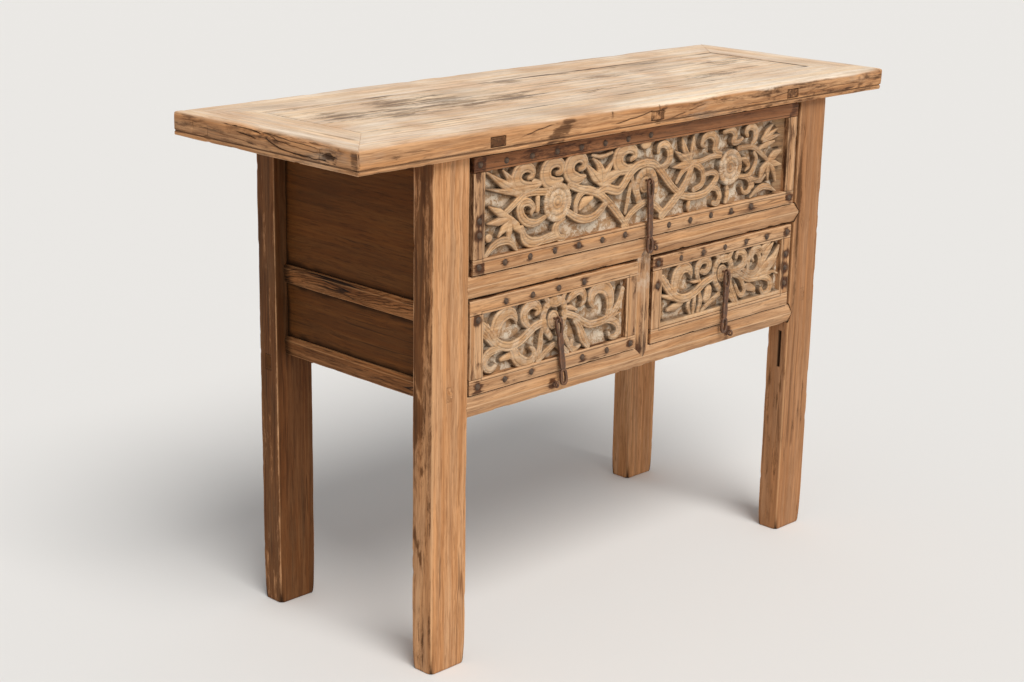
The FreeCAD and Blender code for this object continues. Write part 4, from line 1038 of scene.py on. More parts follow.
LEG_STAINS = {
    "front_left": (0.44, 0.04, 0.35, 330.0,
                   ((-473, -170, 600, 150, 9), (-473, -168, 407, 22, 7), (-473, -178, 329, 7, 4),
                    (-473, -162, 224, 15, 4), (-473, -168, 206, 15, 4), (-473, -174, 188, 12, 4))),
    "front_right": (0.20, 0.12, 0.2, 20.0, ((410, -200, 620, 160, 8),)),
    "rear_left": (0.80, 1.30, 1.1, 40.0,
                  ((-404, 166, 560, 90, 22), (-404, 166, 450, 70, 24), (-420, 166, 250, 90, 14)),
                  (-473, 166)),
    "rear_right": (0.10, 0.02, 0.2, 20.0, ())}
for leg_number, (leg_name, shares) in enumerate(LEG_STAINS.items()):
    low, high = span(leg_name + "_leg")
    is_front, is_right = leg_name.startswith("front"), leg_name.endswith("right")
    fine_stretches = [np.arange(BACK_TENON_LOW - 6, SIDE_TENON_HIGH + 5, 0.9)]
    if is_front:
        fine_stretches += [np.arange(end - 2, end + 2, 0.4) for end in (APRON_LOW, APRON_HIGH)]
        fine_stretches += [np.arange(rail[0] - 3, rail[1] + 3, 1.0) for rail in RAIL_SPANS]
    post = bar(2, box_corners(low, high, 2), 0, UNDERSIDE, rounds=2.2 if is_front else 1.6, step=5.0,
               steps=1.3, end_rounds=(3.0, 0.4), worn=0.7, chips=1.3, wobble=0.35,
               cut=leg_cut(low, high, is_front, is_right), stain=leg_stain(*shares), extra=fine_stretches,
               seed=40 + leg_number)
    dress(leg_name + "_leg", [post], "leg_elm_even_shaded" if is_front and is_right else "leg_elm")
print("legs made")

# %% [markdown]
# ## Rails and muntin of the front
# These rails have a low keel: the face rises to a ridge at half height. Where the muntin meets a rail, both
# keels slope alike, so letting the two bars run into each other draws the pointed mitre by itself.

# %% Front rails and muntin
FACE_Y = span("front_left_leg")[0][1]
RAIL_BACK_Y = span("front_mid_rail")[1][1]


def keel_section(face, back, low, high, ridge_share=0.5):
    """A rail's section, as (depth, height): the ridge stands forward of both edges of its face."""
    inward = math.copysign(KEEL, back - face)
    return [(face + inward, low), (face, low + ridge_share * (high - low)), (face + inward, high),
            (back, high), (back, low)]


def near_iron(places, reach):
    """Rust stain round iron: 1 at a place, fading to nothing at the given reach."""
    def share(x, y, z, normal):
        total = np.zeros_like(x)
        for px, pz in places:
            total = np.maximum(total, np.exp(-((x - px) ** 2 + (z - pz) ** 2) / reach ** 2))
        return total * rise(-normal[:, 1], 0.2, 0.7)
    return share


STAPLES = ((14.0, 602.5), (-213.75, 417.5), (222.75, 417.5))
KEELED = {"rounds": (1.2, 2.0, 1.2, 1.0, 1.0), "step": 5.0, "steps": (2.0, 2.0, 6.0, 6.0, 6.0), "worn": 0.7,
          "chips": 1.5, "wobble": 0.35}
for number, (node, (left_point, right_point)) in enumerate(RAIL_POINTS.items()):
    low, high = span(node)
    rail = bar(0, keel_section(FACE_Y, RAIL_BACK_Y, low[2], high[2]), -LEG_IN - left_point,
               LEG_IN + right_point, seed=50 + number,
               stain=near_iron(STAPLES[:1] if number == 0 else STAPLES[1:], 12.0), **KEELED)
    dress(node, [rail], "orange_elm")

low, high = span("front_muntin")
half_width = (high[0] - low[0]) / 2
muntin_section = [(-half_width, FACE_Y + KEEL), (0, FACE_Y), (half_width, FACE_Y + KEEL),
                  (half_width, RAIL_BACK_Y), (-half_width, RAIL_BACK_Y)]
MUNTIN_LOW, MUNTIN_HIGH, MUNTIN_CLEAN = 418.0, 602.0, 500
upright_bar = bar(2, muntin_section, MUNTIN_LOW, MUNTIN_HIGH, seed=55, **KEELED,
                  stain=lambda x, y, z, normal: 0.14 + 0.30 * rise(np.abs(z - MUNTIN_CLEAN), 30, 80))
heights = upright_bar["points"][:, 2]
upright_bar["wash"] = 0.42 * rise(heights, 505, 560) * (0.7 + 0.5 * rolling(heights / 15, heights * 0, 56))
dress("front_muntin", [upright_bar], "orange_elm")
print("front rails and muntin made")

# %% [markdown]
# ## Sides and back
# The side rails keep their dark stain, and their upper edge is rubbed to a pale line. The panels are thin
# boards whose edges are lost in the grooves, so they are simple bars that run into their neighbours.

# %% Side rails and panels
SIDE_RIDGE_SHARE = 0.8
LEG_BACK_Y, REAR_LEG_Y = span("front_left_leg")[1][1], span("rear_left_leg")[0][1]


def raised_grain(side, seed, amount):
    """Weathered grain of a side rail: the soft wood has gone between curved hard lines. The lines are
    contours of height + noise, one every 4 mm, and the ends of the rail are dirty."""
    def depth(x, y, z, normal):
        face = rise(side * normal[..., 0], 0.5, 0.9)
        rings = z / 4.2 + 0.022 * y + 1.7 * rolling(y / 95, z / 26, seed)
        rings = rings + 0.5 * rolling(y / 22, z / 7, seed + 1)
        line = 1 - rise(np.abs(rings - np.floor(rings) - 0.5), 0.10, 0.24)
        line = amount * line * rise(rolling(y / 34, z / 8, seed + 2), -0.55, 0.1)
        ends = 0.8 * rise(-y, -LEG_BACK_Y - 12, -LEG_BACK_Y)
        ends = np.maximum(rise(y, REAR_LEG_Y - 22, REAR_LEG_Y - 2), ends)
        return 0.7 * line * face, np.clip(0.62 * line * face + 0.75 * ends, 0, 1)
    return depth


def beyond(u, v, edges):
    """How far a place is outside a rectangle (u from and to, v from and to), less than 0 inside it."""
    return np.maximum(np.maximum(edges[0] - u, u - edges[1]), np.maximum(edges[2] - v, v - edges[3]))


def panel_edge_dirt_and_shade(edges):
    """Dirt and painted shade on a side panel along its edges and where it meets the rails."""
    def depth(x, y, z, normal):
        ragged_edge = 2.5 * rolling(y / 18, z / 18, 91) - beyond(y, z, edges)
        return np.zeros_like(x), 0.9 * (1 - rise(ragged_edge, 1.0, 9.0))
    return depth


for side, side_name in ((-1, "left"), (1, "right")):
    prefix = side_name + "_side_"
    for number, rail_name in enumerate(("mid_rail", "bottom_rail")):
        low, high = span(prefix + rail_name)
        face, back = (low[0], high[0]) if side < 0 else (high[0], low[0])
        rail = bar(1, keel_section(face, back, low[2], high[2], SIDE_RIDGE_SHARE), LEG_BACK_Y - 3,
                   REAR_LEG_Y + 3, rounds=(1.2, 1.4, 1.2, 1.0, 1.0), step=2.5,
                   steps=(0.8, 0.8, 6.0, 6.0, 6.0), worn=0.6, chips=1.0, wobble=0.3,
                   cut=raised_grain(side, 92 + 3 * number, (1.0, 0.35)[number]), seed=60 + number + side)
        if rail_name == "bottom_rail":
            middle = side * SIDE_TENON_X
            tenon = bar(1, oblong(middle - SIDE_TENON_HALF, middle + SIDE_TENON_HALF, SIDE_TENON_LOW,
                                  SIDE_TENON_HIGH),
                        low[1] + 0.7, high[1] - 0.7, rounds=1.5, step=30.0, steps=2.0, end_rub=0.0,
                        stain=all_over(0.2), seed=64 + side)
            make(prefix + "tenons_worn", [tenon], ("leg_elm", "leg_elm_even_shaded")[side > 0])
        dress(prefix + rail_name, [rail], "rail_elm")
    mid_low, mid_high = span(prefix + "mid_rail")
    panel_edges = ((mid_high[2], UNDERSIDE), (span(prefix + "bottom_rail")[1][2], mid_low[2]))
    for number, panel_name in enumerate(("upper_panel", "lower_panel")):
        low, high = span(prefix + panel_name)
        panel = bar(1, box_corners(low, high, 1), low[1], high[1], rounds=0.8, step=4.0, steps=4.0, worn=0.3,
                    wobble=0.9, cut=panel_edge_dirt_and_shade((LEG_BACK_Y, REAR_LEG_Y, *panel_edges[number])),
                    seed=70 + number + 3 * side)
        dress(prefix + panel_name, [panel], "dark_elm")
print("sides made")

# %% Back
panel_low, panel_high = span("back_upper_panel")
for number, node in enumerate(("back_mid_rail", "back_bottom_rail")):
    low, high = span(node)
    low[1], high[1] = panel_low[1] - 10.0, panel_high[1] + 10.0
    shapes = [bar(0, box_corners(low, high, 0), -LEG_IN - 3, LEG_IN + 3, rounds=1.5, step=6.0, steps=4.0,
                  worn=0.8, seed=80 + number, stain=all_over(0.1))]
    if node == "back_bottom_rail":
        shapes.append(bar(0, oblong(BACK_TENON_Y - SIDE_TENON_HALF, BACK_TENON_Y + SIDE_TENON_HALF,
                                    BACK_TENON_LOW, BACK_TENON_HIGH),
                          low[0] + 0.9, high[0] - 0.9, rounds=1.5, step=40.0, steps=2.0, seed=84))
    dress(node, shapes, "dark_elm")
for number, node in enumerate(("back_upper_panel", "back_lower_panel")):
    low, high = span(node)
    panel = bar(0, box_corners(low, high, 0), low[0], high[0], rounds=0.8, step=10.0,
                steps=(4.0, 6.0, 4.0, 6.0), worn=0.3, wobble=0.9, seed=86 + number)
    dress(node, [panel], "dark_elm")
print("back made")

# %% [markdown]
# ## Drawer boxes and runners
# Inside, nobody carved or scrubbed anything: plain planed boards do their work there. Their solids already
# have the right shape, so they stay, with welded points and a small bevel that catches light along the
# arrises, and with the bare drawer wood.

# %% Plain boards
DRAWERS = ("upper", "lower_left", "lower_right")
BEVEL_WIDTH, BEVEL_ANGLE, WELD_REACH = 0.7, 40, 0.01


def plain_board(node, finish):
    """A solid that stays as it is, with its arrises just taken off."""
    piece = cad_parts[node]
    piece.data.materials.clear()
    piece.data.materials.append(finishes[finish])
    weld = piece.modifiers.new("weld", "WELD")
    weld.merge_threshold = WELD_REACH * MM
    edges = piece.modifiers.new("arrises", "BEVEL")
    edges.width, edges.segments, edges.limit_method = BEVEL_WIDTH * MM, 2, "ANGLE"
    edges.angle_limit = math.radians(BEVEL_ANGLE)


for drawer_name in DRAWERS:
    for board, letter in (("left_side", "Y"), ("right_side", "Y"), ("back", "X"), ("bottom", "X")):
        plain_board(f"{drawer_name}_drawer_{board}", "drawer_wood_" + letter)
for runner in ("upper_runners", "lower_runners"):
    plain_board(runner, "drawer_wood_Y")
print("plain boards finished")

# %% [markdown]
# ## The carved panels
# A carver draws the scrolls on the board and cuts the ground away round them, so what is left is a
# flat-topped relief with steep walls. The same idea makes the mesh: each stroke is a smooth line with a
# width, drawn through a few given points, and the panel is a height over a grid. A grid point belongs to
# the stroke that stands highest there. Sculpting would need no formula but can't be read or changed, and
# separate tubes for the scrolls would show as tubes. Grid points next to a stroke's outline are drawn onto
# it, so that the walls follow the line instead of the grid.

# %% Strokes of the upper panel
# A stroke is (kind, half widths along it, level below the top, its points' x and z by turns).
UPPER_LEFT_STROKES = [
    ("leaf", (9, 8, 5, 2), 0.0, (-297, 735, -318, 745, -340, 758, -364, 773)),
    ("leaf", (5, 5, 3, 1), -1.0, (-298, 733, -325, 739, -366, 748)),
    ("leaf", (4, 6, 2), -0.5, (-303, 742, -316, 758, -330, 772)),
    ("band", (6, 6, 6, 5), -0.3, (-238, 727, -262, 730, -283, 729, -297, 722, -312, 713, -325, 706)),
    ("petal", (4, 7, 2), 0.0, (-312, 697, -332, 707, -357, 720)),
    ("petal", (4, 7, 2), -0.4, (-312, 697, -335, 695, -360, 695)),
    ("petal", (4, 7, 2), -0.2, (-312, 695, -325, 683, -338, 672)),
    ("petal", (4, 7, 3), 0.0, (-312, 693, -314, 678, -316, 664)),
    ("petal", (4, 8, 3), -0.4, (-308, 695, -298, 682, -289, 671)),
    ("boss", (7, 7), 0.0, (-358, 673, -357, 673)),
    ("band", (4, 6, 7, 6, 3), -0.8, (-364, 646, -350, 658, -333, 664, -312, 661, -298, 646)),
    ("curl", (4, 10, 12, 11, 8, 4), 0.0, (-250, 740, -272, 738, -292, 742, -302, 754, -296, 767, -281, 771,
     -268, 765, -267, 756, -275, 753)),
    ("petal", (6, 4, 2), -2.0, (-262, 745, -248, 743, -238, 740)),
    ("curl", (4, 11, 13, 11, 8, 4), 0.0, (-202, 741, -220, 738, -234, 743, -239, 757, -230, 769, -214, 771,
     -203, 764, -204, 754, -213, 752)),
    ("curl", (4, 11, 13, 11, 8, 4), 0.0, (-150, 739, -166, 737, -182, 744, -187, 757, -179, 769, -164, 772,
     -152, 765, -153, 755, -162, 752)),
    ("curl", (4, 11, 13, 11, 8, 4), 0.0, (-40, 741, -54, 738, -69, 744, -74, 757, -66, 769, -49, 772,
     -35, 766, -33, 757, -42, 752)),
    ("band", (4, 7, 8, 7, 4), 0.0, (-238, 688, -257, 682, -275, 685, -289, 696, -293, 709, -285, 717,
     -272, 715, -264, 706, -268, 699)),
    ("petal", (5, 5), -1.0, (-253, 720, -253, 701)),
    ("band", (5, 9, 9, 5, 3), -0.3, (-288, 678, -282, 662, -268, 653, -250, 652, -232, 657, -214, 661)),
    ("curl", (5, 8, 6), -0.5, (-196, 679, -209, 674, -214, 663, -206, 651, -196, 649)),
    ("band", (6, 7, 7, 7, 6), 0.0, (-184, 730, -160, 721, -137, 715, -118, 708, -99, 695, -80, 678, -63, 661,
     -49, 646)),
    ("band", (5, 6, 6, 4), -0.6, (-169, 686, -168, 701, -158, 713, -140, 718, -122, 713)),
    ("band", (6, 7, 7, 6), -0.3, (-187, 688, -168, 677, -148, 671, -128, 672, -112, 680, -99, 691)),
    ("petal", (3, 9, 5), -1.5, (-160, 688, -148, 698, -132, 703)),
    ("leaf", (4, 11, 8, 2), 0.0, (-112, 722, -95, 728, -78, 733, -60, 735)),
    ("leaf", (4, 10, 6, 2), 0.2, (-112, 722, -112, 740, -120, 755, -132, 764)),
    ("leaf", (4, 9, 5, 1), -0.3, (-113, 722, -128, 738, -142, 752, -154, 764)),
    ("leaf", (3, 8, 5, 1), -0.6, (-110, 724, -98, 740, -88, 752, -84, 760)),
    ("band", (3, 4, 3), -1.4, (-133, 770, -109, 765, -87, 769)),
    ("band", (6, 8, 8, 8, 8, 7), 0.6, (-121, 709, -102, 714, -84, 709, -70, 707, -58, 716, -45, 730,
     -28, 740, -5, 743)),
    ("band", (6, 6, 5), -0.5, (-210, 652, -232, 651, -246, 650)),
]
UPPER_RIGHT_STROKES = [
    ("band", (7, 7, 7, 6), 0.6, (-8, 743, 14, 738, 30, 725, 48, 707, 63, 693, 78, 682)),
    ("scallop", (7, 7, 7), 0.2, (-21, 684, -27, 703, -22, 720, -8, 729, 8, 726, 17, 713, 19, 698, 12, 682)),
    ("band", (4, 5, 4), -0.8, (-38, 724, -32, 703, -21, 688, -11, 676)),
    ("band", (4, 5, 4), -1.0, (-41, 711, -46, 690, -52, 668)),
    ("band", (6, 6, 6), -0.2, (-56, 647, -40, 664, -22, 673, -6, 678)),
    ("band", (6, 6, 6), -0.4, (4, 677, 22, 668, 40, 654)),
    ("boss", (13, 13), -0.4, (-7, 777, -5, 777)),
    ("curl", (4, 7, 8, 7, 4), 0.0, (22, 730, 40, 731, 52, 741, 52, 756, 40, 767, 26, 765, 24, 756)),
    ("leaf", (3, 7, 6, 1), 0.2, (105, 728, 97, 742, 88, 758, 82, 773)),
    ("leaf", (3, 6, 5, 1), 0.0, (106, 730, 110, 748, 113, 774)),
    ("leaf", (3, 7, 5, 1), 0.0, (103, 728, 85, 740, 64, 753)),
    ("leaf", (3, 7, 4, 1), -0.3, (102, 726, 84, 726, 60, 726)),
    ("band", (4, 5, 4), -0.6, (104, 722, 86, 715, 73, 700)),
    ("band", (5, 5, 5), -0.4, (113, 728, 135, 728, 160, 732, 184, 731)),
    ("band", (5, 6, 6, 5), 0.0, (108, 726, 124, 722, 137, 712, 141, 698, 135, 687, 117, 682)),
    ("band", (8, 8, 8, 6), 0.9, (36, 650, 60, 667, 80, 682, 95, 698, 108, 720)),
    ("band", (6, 7, 7, 6, 4), -0.2, (80, 678, 112, 671, 145, 672, 167, 684, 177, 697, 165, 705, 141, 703)),
    ("curl", (4, 8, 8, 6, 3), 0.0, (186, 735, 170, 741, 171, 757, 159, 769, 142, 767, 134, 756, 142, 750)),
    ("band", (4, 6, 5), -0.4, (158, 679, 178, 675, 187, 662, 180, 650, 170, 652)),
    ("petal", (4, 5, 2), -1.5, (108, 662, 107, 655, 108, 645)),
    ("petal", (5, 6, 4), -1.2, (207, 675, 209, 662, 205, 648)),
    ("curl", (4, 7, 6, 3), 0.0, (192, 769, 212, 771, 222, 761, 218, 750, 232, 748, 243, 753)),
    ("curl", (4, 7, 7, 4), 0.0, (266, 737, 277, 748, 277, 764, 263, 771, 252, 764, 256, 756)),
    ("band", (5, 5, 5, 4), -0.3, (233, 737, 250, 737, 270, 735, 286, 728, 300, 718, 314, 708)),
    ("band", (4, 5, 5, 4), -0.3, (236, 688, 262, 686, 277, 699, 283, 714, 277, 724)),
    ("leaf", (2, 6, 5, 2), 0.0, (240, 719, 255, 713, 262, 703, 254, 696)),
    ("band", (4, 6, 6, 4, 3), 0.0, (252, 687, 265, 680, 270, 669, 264, 659, 252, 659, 245, 668)),
    ("boss", (7, 7), -0.2, (274, 668, 275, 668)),
    ("band", (4, 5, 5, 3), -0.6, (266, 684, 283, 676, 300, 674, 310, 681)),
    ("petal", (4, 9, 3), 0.0, (317, 705, 332, 713, 350, 720)),
    ("petal", (4, 7, 2), -0.4, (318, 704, 335, 699, 354, 695)),
    ("petal", (3, 6, 3), 0.0, (318, 702, 332, 688, 340, 668)),
    ("petal", (3, 6, 2), -0.4, (316, 702, 318, 688, 317, 672)),
    ("petal", (4, 8, 4), -0.2, (314, 703, 304, 692, 296, 678)),
    ("leaf", (3, 5, 1), -0.3, (297, 745, 311, 757, 326, 768)),
    ("leaf", (3, 5, 1), 0.0, (299, 744, 318, 751, 340, 760)),
    ("leaf", (3, 5, 1), -0.4, (300, 741, 322, 745, 348, 748)),
    ("petal", (3, 7, 3), -1.6, (290, 729, 310, 734, 332, 738)),
    ("band", (3, 6, 6, 2), -0.8, (272, 648, 296, 660, 318, 660, 342, 650)),
    ("hub", (14, 14), -2.6, (-4, 706, -4, 712)),
]
UPPER_ROSETTES = [(-211.5, 707.5), (211.5, 708.0)]
print("strokes of the upper panel:", len(UPPER_LEFT_STROKES) + len(UPPER_RIGHT_STROKES))

# %% Strokes of the lower panels
LOWER_LEFT_STROKES = [
    ("scallop", (6, 7, 6), 0.3, (-219, 494, -230, 508, -237, 524, -233, 541, -221, 550, -205, 552, -192, 544,
     -188, 528, -193, 512, -203, 498)),
    ("band", (3, 6, 6, 3), 0.0, (-237, 563, -223, 551, -208, 546, -195, 551, -184, 564)),
    ("band", (7, 7, 8, 8, 8, 7), 0.3, (-369, 541, -356, 529, -345, 515, -330, 503, -310, 497, -290, 500,
     -270, 510, -255, 518, -236, 521)),
    ("band", (5, 5, 5), -0.6, (-369, 528, -356, 517, -343, 505)),
    ("petal", (3, 5, 2), -1.0, (-344, 516, -352, 528, -356, 540)),
    ("curl", (5, 11, 13, 12, 8, 2), 0.0, (-342, 508, -342, 524, -335, 541, -321, 550, -307, 549, -298, 540,
     -296, 531)),
    ("curl", (4, 8, 9, 8, 4), 0.0, (-266, 518, -276, 528, -280, 541, -273, 552, -260, 555, -249, 549,
     -246, 541, -252, 537)),
    ("curl", (3, 7, 8, 6, 4), -0.2, (-322, 495, -338, 497, -353, 495, -364, 485, -361, 473, -350, 467,
     -340, 472)),
    ("curl", (6, 10, 11, 9, 6, 3), 0.0, (-308, 496, -300, 486, -293, 474, -280, 465, -266, 463, -256, 470,
     -257, 481, -265, 486)),
    ("band", (4, 6, 6), -0.6, (-236, 514, -241, 500, -242, 486, -247, 466)),
    ("band", (5, 6, 5), -0.3, (-247, 460, -231, 471, -212, 480)),
    ("band", (5, 6, 5), -0.4, (-207, 480, -192, 471, -180, 461)),
    ("band", (6, 6, 7, 7, 7, 5), 0.3, (-191, 527, -176, 522, -160, 515, -145, 505, -130, 498, -110, 497,
     -90, 500, -72, 509, -60, 523, -53, 542)),
    ("curl", (4, 9, 12, 12, 9, 4), 0.0, (-90, 503, -83, 518, -83, 535, -92, 550, -110, 556, -125, 548,
     -128, 535, -122, 526)),
    ("curl", (4, 8, 8, 6, 3), 0.0, (-181, 545, -170, 554, -155, 558, -145, 550, -144, 538, -151, 532)),
    ("petal", (3, 5, 3), -0.8, (-190, 535, -176, 534, -160, 527)),
    ("curl", (4, 7, 7, 6, 3), -0.2, (-100, 496, -80, 496, -65, 488, -59, 476, -66, 466, -78, 467, -82, 474)),
    ("petal", (4, 4, 1), -0.5, (-84, 498, -70, 502, -56, 505)),
    ("band", (4, 7, 9, 5), -0.3, (-166, 512, -155, 500, -147, 484, -140, 472, -132, 462)),
    ("band", (3, 5, 5), -0.4, (-194, 503, -186, 488, -176, 472, -166, 461)),
    ("band", (3, 5, 6, 4), -0.6, (-151, 467, -163, 463, -172, 468, -170, 478)),
    ("petal", (4, 7, 5), -2.4, (-326, 478, -308, 481, -296, 488)),
    ("hub", (13, 13), -2.6, (-211.75, 517, -211.75, 523)),
]
LOWER_RIGHT_STROKES = [
    ("scallop", (6, 7, 6), 0.3, (200, 497, 189, 510, 183, 524, 185, 539, 195, 549, 209, 552, 222, 546,
     229, 533, 228, 518, 220, 503)),
    ("band", (3, 6, 6, 3), 0.0, (184, 563, 195, 553, 208, 548, 222, 551, 234, 564)),
    ("band", (8, 8, 8, 8, 7), 0.3, (45, 542, 60, 525, 76, 510, 93, 501, 112, 499, 135, 505, 156, 516,
     180, 523)),
    ("curl", (5, 11, 13, 12, 8, 2), 0.0, (78, 508, 79, 524, 84, 541, 97, 552, 111, 550, 120, 541, 122, 531)),
    ("petal", (3, 5, 2), -1.0, (74, 513, 66, 524, 61, 537)),
    ("curl", (4, 7, 8, 7, 5), 0.0, (144, 521, 137, 534, 139, 549, 151, 557, 164, 554, 168, 544, 160, 535,
     149, 537)),
    ("petal", (3, 4, 2), -0.8, (146, 522, 133, 522, 121, 524)),
    ("boss", (9, 10, 8), -0.3, (170, 502, 168, 492, 164, 487)),
    ("leaf", (4, 5, 3), -0.3, (121, 496, 116, 484, 122, 469)),
    ("leaf", (4, 5, 3), 0.0, (133, 498, 132, 483, 130, 468)),
    ("leaf", (4, 6, 4), -0.3, (145, 501, 149, 485, 143, 469)),
    ("band", (4, 5, 5), -0.6, (154, 468, 174, 479, 198, 489)),
    ("petal", (3, 5, 3), -0.8, (48, 512, 68, 506, 88, 498)),
    ("petal", (4, 8, 6), -3.2, (66, 484, 84, 486, 102, 490)),
    ("band", (5, 6, 6, 5, 2), 0.3, (224, 529, 240, 522, 258, 512, 276, 503, 300, 500, 325, 501, 346, 504,
     360, 499)),
    ("band", (4, 7, 6, 5, 3), 0.2, (262, 522, 276, 513, 291, 510, 303, 517, 308, 530, 304, 543, 294, 548,
     286, 541, 290, 533)),
    ("band", (4, 5, 5, 4), -0.3, (276, 517, 277, 534, 284, 549, 297, 556, 311, 551, 319, 540)),
    ("leaf", (6, 12, 11, 7, 2), 0.0, (306, 507, 324, 513, 341, 522, 354, 535, 362, 549)),
    ("leaf", (5, 8, 7, 2), -0.4, (313, 520, 322, 534, 334, 546, 345, 556)),
    ("leaf", (3, 7, 6, 2), -0.8, (311, 545, 322, 553, 338, 559)),
    ("curl", (4, 7, 8, 7, 4), 0.0, (233, 527, 248, 525, 262, 531, 266, 543, 258, 553, 245, 554, 242, 546)),
    ("band", (5, 6, 6, 5), -0.3, (225, 512, 230, 497, 239, 481, 250, 463)),
    ("band", (4, 5, 5, 4), 0.0, (236, 516, 252, 510, 263, 497, 268, 484, 261, 476, 251, 483, 243, 496)),
    ("band", (4, 5, 4), -0.5, (217, 488, 231, 479, 243, 466)),
    ("curl", (4, 6, 7, 6, 4), 0.0, (304, 498, 321, 498, 337, 492, 343, 480, 336, 469, 323, 469, 316, 478)),
    ("petal", (5, 9, 6), -2.6, (268, 491, 284, 487, 299, 480)),
    ("flat", (4, 4), -0.4, (40, 463, 371, 463)),
    ("hub", (13, 13), -2.6, (206.75, 521, 206.75, 527)),
]
print("strokes of the lower panels:", len(LOWER_LEFT_STROKES), len(LOWER_RIGHT_STROKES))

# %% From strokes to heights
RELIEF_TOP, RELIEF_GROUND = -199.2, -188.6
RELIEF_HEIGHT = RELIEF_GROUND - RELIEF_TOP
EDGE_FALL, EDGE_REACH, WALL_DIRT_AND_SHADE_REACH, PATCH_MARGIN = 2.3, 2.6, 2.6, 8
GROOVE_DEPTH, GROOVE_HALF = 1.1, 0.85
CELL = 0.85
SNAP_REACH, SNAP_MOST = 0.55 * CELL, 0.45 * CELL
BACK_REACH = 3.0
CARVING_SHIFT = np.array([431.0, 77.0, 19.0])
GROOVE_SHARES = {"band": (0.42,), "curl": (0.50,), "leaf": (0.0,), "petal": (), "boss": (0.0,),
                 "scallop": (0.75,), "flat": (), "hub": (0.62,)}
DOME_FALL = {"band": 0.5, "curl": 0.9, "leaf": 1.6, "petal": 2.2, "boss": 2.0, "scallop": 0.6, "flat": 0.0,
             "hub": 0.8}


def smooth_line(points, spacing=1.0, least=1):
    """A smooth line through the points (Catmull-Rom): each span blends the two points and half the chords
    between their neighbours, in steps of about the spacing and no fewer than least."""
    points = np.array(points, float)
    padded = np.concatenate([[2 * points[0] - points[1]], points, [2 * points[-1] - points[-2]]])
    line = []
    for k in range(len(points) - 1):
        p0, p1, p2, p3 = padded[k:k + 4]
        pieces = max(least, int(np.linalg.norm(p2 - p1) / spacing))
        t = (np.arange(pieces + (k == len(points) - 2)) / pieces)[:, None]
        line.append(0.5 * (2 * p1 + (p2 - p0) * t + (2 * p0 - 5 * p1 + 4 * p2 - p3) * t ** 2
                           + (3 * p1 - p0 - 3 * p2 + p3) * t ** 3))
    return np.concatenate(line)


def stroke_surface(x, z, kind, widths, level, points):
    """A stroke over a patch of the grid. reach is how far inside its outline a point is (half width less
    distance, the most along the line). Its height falls at the outline as a quarter round, by a
    dome over the whole width, and in grooves that run with the line."""
    line = smooth_line(points)
    share = np.linspace(0, 1, len(line))
    half = np.interp(share, np.linspace(0, 1, len(widths)), widths)
    away = np.hypot(x[..., None] - line[:, 0], z[..., None] - line[:, 1])
    nearest = np.argmax(half - away, -1)
    reach = np.take_along_axis(half - away, nearest[..., None], -1)[..., 0]
    own_half = half[nearest]
    q = np.clip(1 - reach / own_half, 0, 1)
    along = share[nearest] * len(line)
    fall = EDGE_FALL * (1 - np.clip(reach / np.minimum(EDGE_REACH, own_half), 0, 1)) ** 2
    fall = fall + DOME_FALL[kind] * q ** 2
    groove = np.zeros_like(q)
    for place_share in GROOVE_SHARES[kind]:
        groove = np.maximum(groove, np.exp(-((q - place_share) * own_half / GROOVE_HALF) ** 2))
    if kind == "band":
        groove = groove * rise(own_half, 2.0, 4.5)
    if kind == "scallop":
        groove = np.maximum(groove, 0.9 * np.cos(along * math.pi / 9) ** 8 * rise(0.9 - q, 0, 0.4))
    fall = fall + GROOVE_DEPTH * groove + 0.2 * rolling(x / 5, z / 5, 3)
    return reach, level - fall, groove


ROSETTE_RADIUS, FLUTES, PETALS = 31.0, 44, 16
ROSETTE_RINGS = ((26.2, 4.4, 0.0), (15.6, 4.0, 0.4), (8.2, 2.2, 0.8), (0.0, 3.8, 0.2))


def rosette_surface(x, z, centre):
    """A rosette: rings inside each other, each (radius of its ridge, half width, depth below the top), and
    all but the boss fluted by the sine of the angle."""
    radius = np.hypot(x - centre[0], z - centre[1])
    angle = np.arctan2(z - centre[1], x - centre[0])
    reach = ROSETTE_RADIUS * (1 + 0.012 * np.cos(7 * angle)) - radius
    height = np.full_like(radius, -3.8)
    flutes = 0.35 * np.cos(FLUTES * angle) * rise(radius, 19, 22)
    petals = 0.8 * (np.abs(np.sin(PETALS / 2 * angle)) ** 0.6 - 0.7)
    flutes = flutes + petals * rise(radius, 9, 12) * rise(-radius, -21, -19)
    for ridge, half, deep in ROSETTE_RINGS:
        inside = np.clip(1 - ((radius - ridge) / half) ** 2, 0, 1)
        height = np.maximum(height, -deep - 1.9 * (1 - np.sqrt(inside)))
    groove = np.clip((-height - 0.9) / 1.2, 0, 1) + 0.6 * np.clip(-flutes / 0.35, 0, 1)
    fall = EDGE_FALL * (1 - np.clip(reach / EDGE_REACH, 0, 1)) ** 2
    return reach, 0.8 + height + flutes - 0.6 * fall, np.clip(groove, 0, 1)


def stroke_job(kind, widths, level, points):
    """What relief works with: a stroke's surface, the values for it, its path and its widest half width."""
    path = np.array(points, float).reshape(-1, 2)
    return stroke_surface, (kind, widths, level, path), path, max(widths)


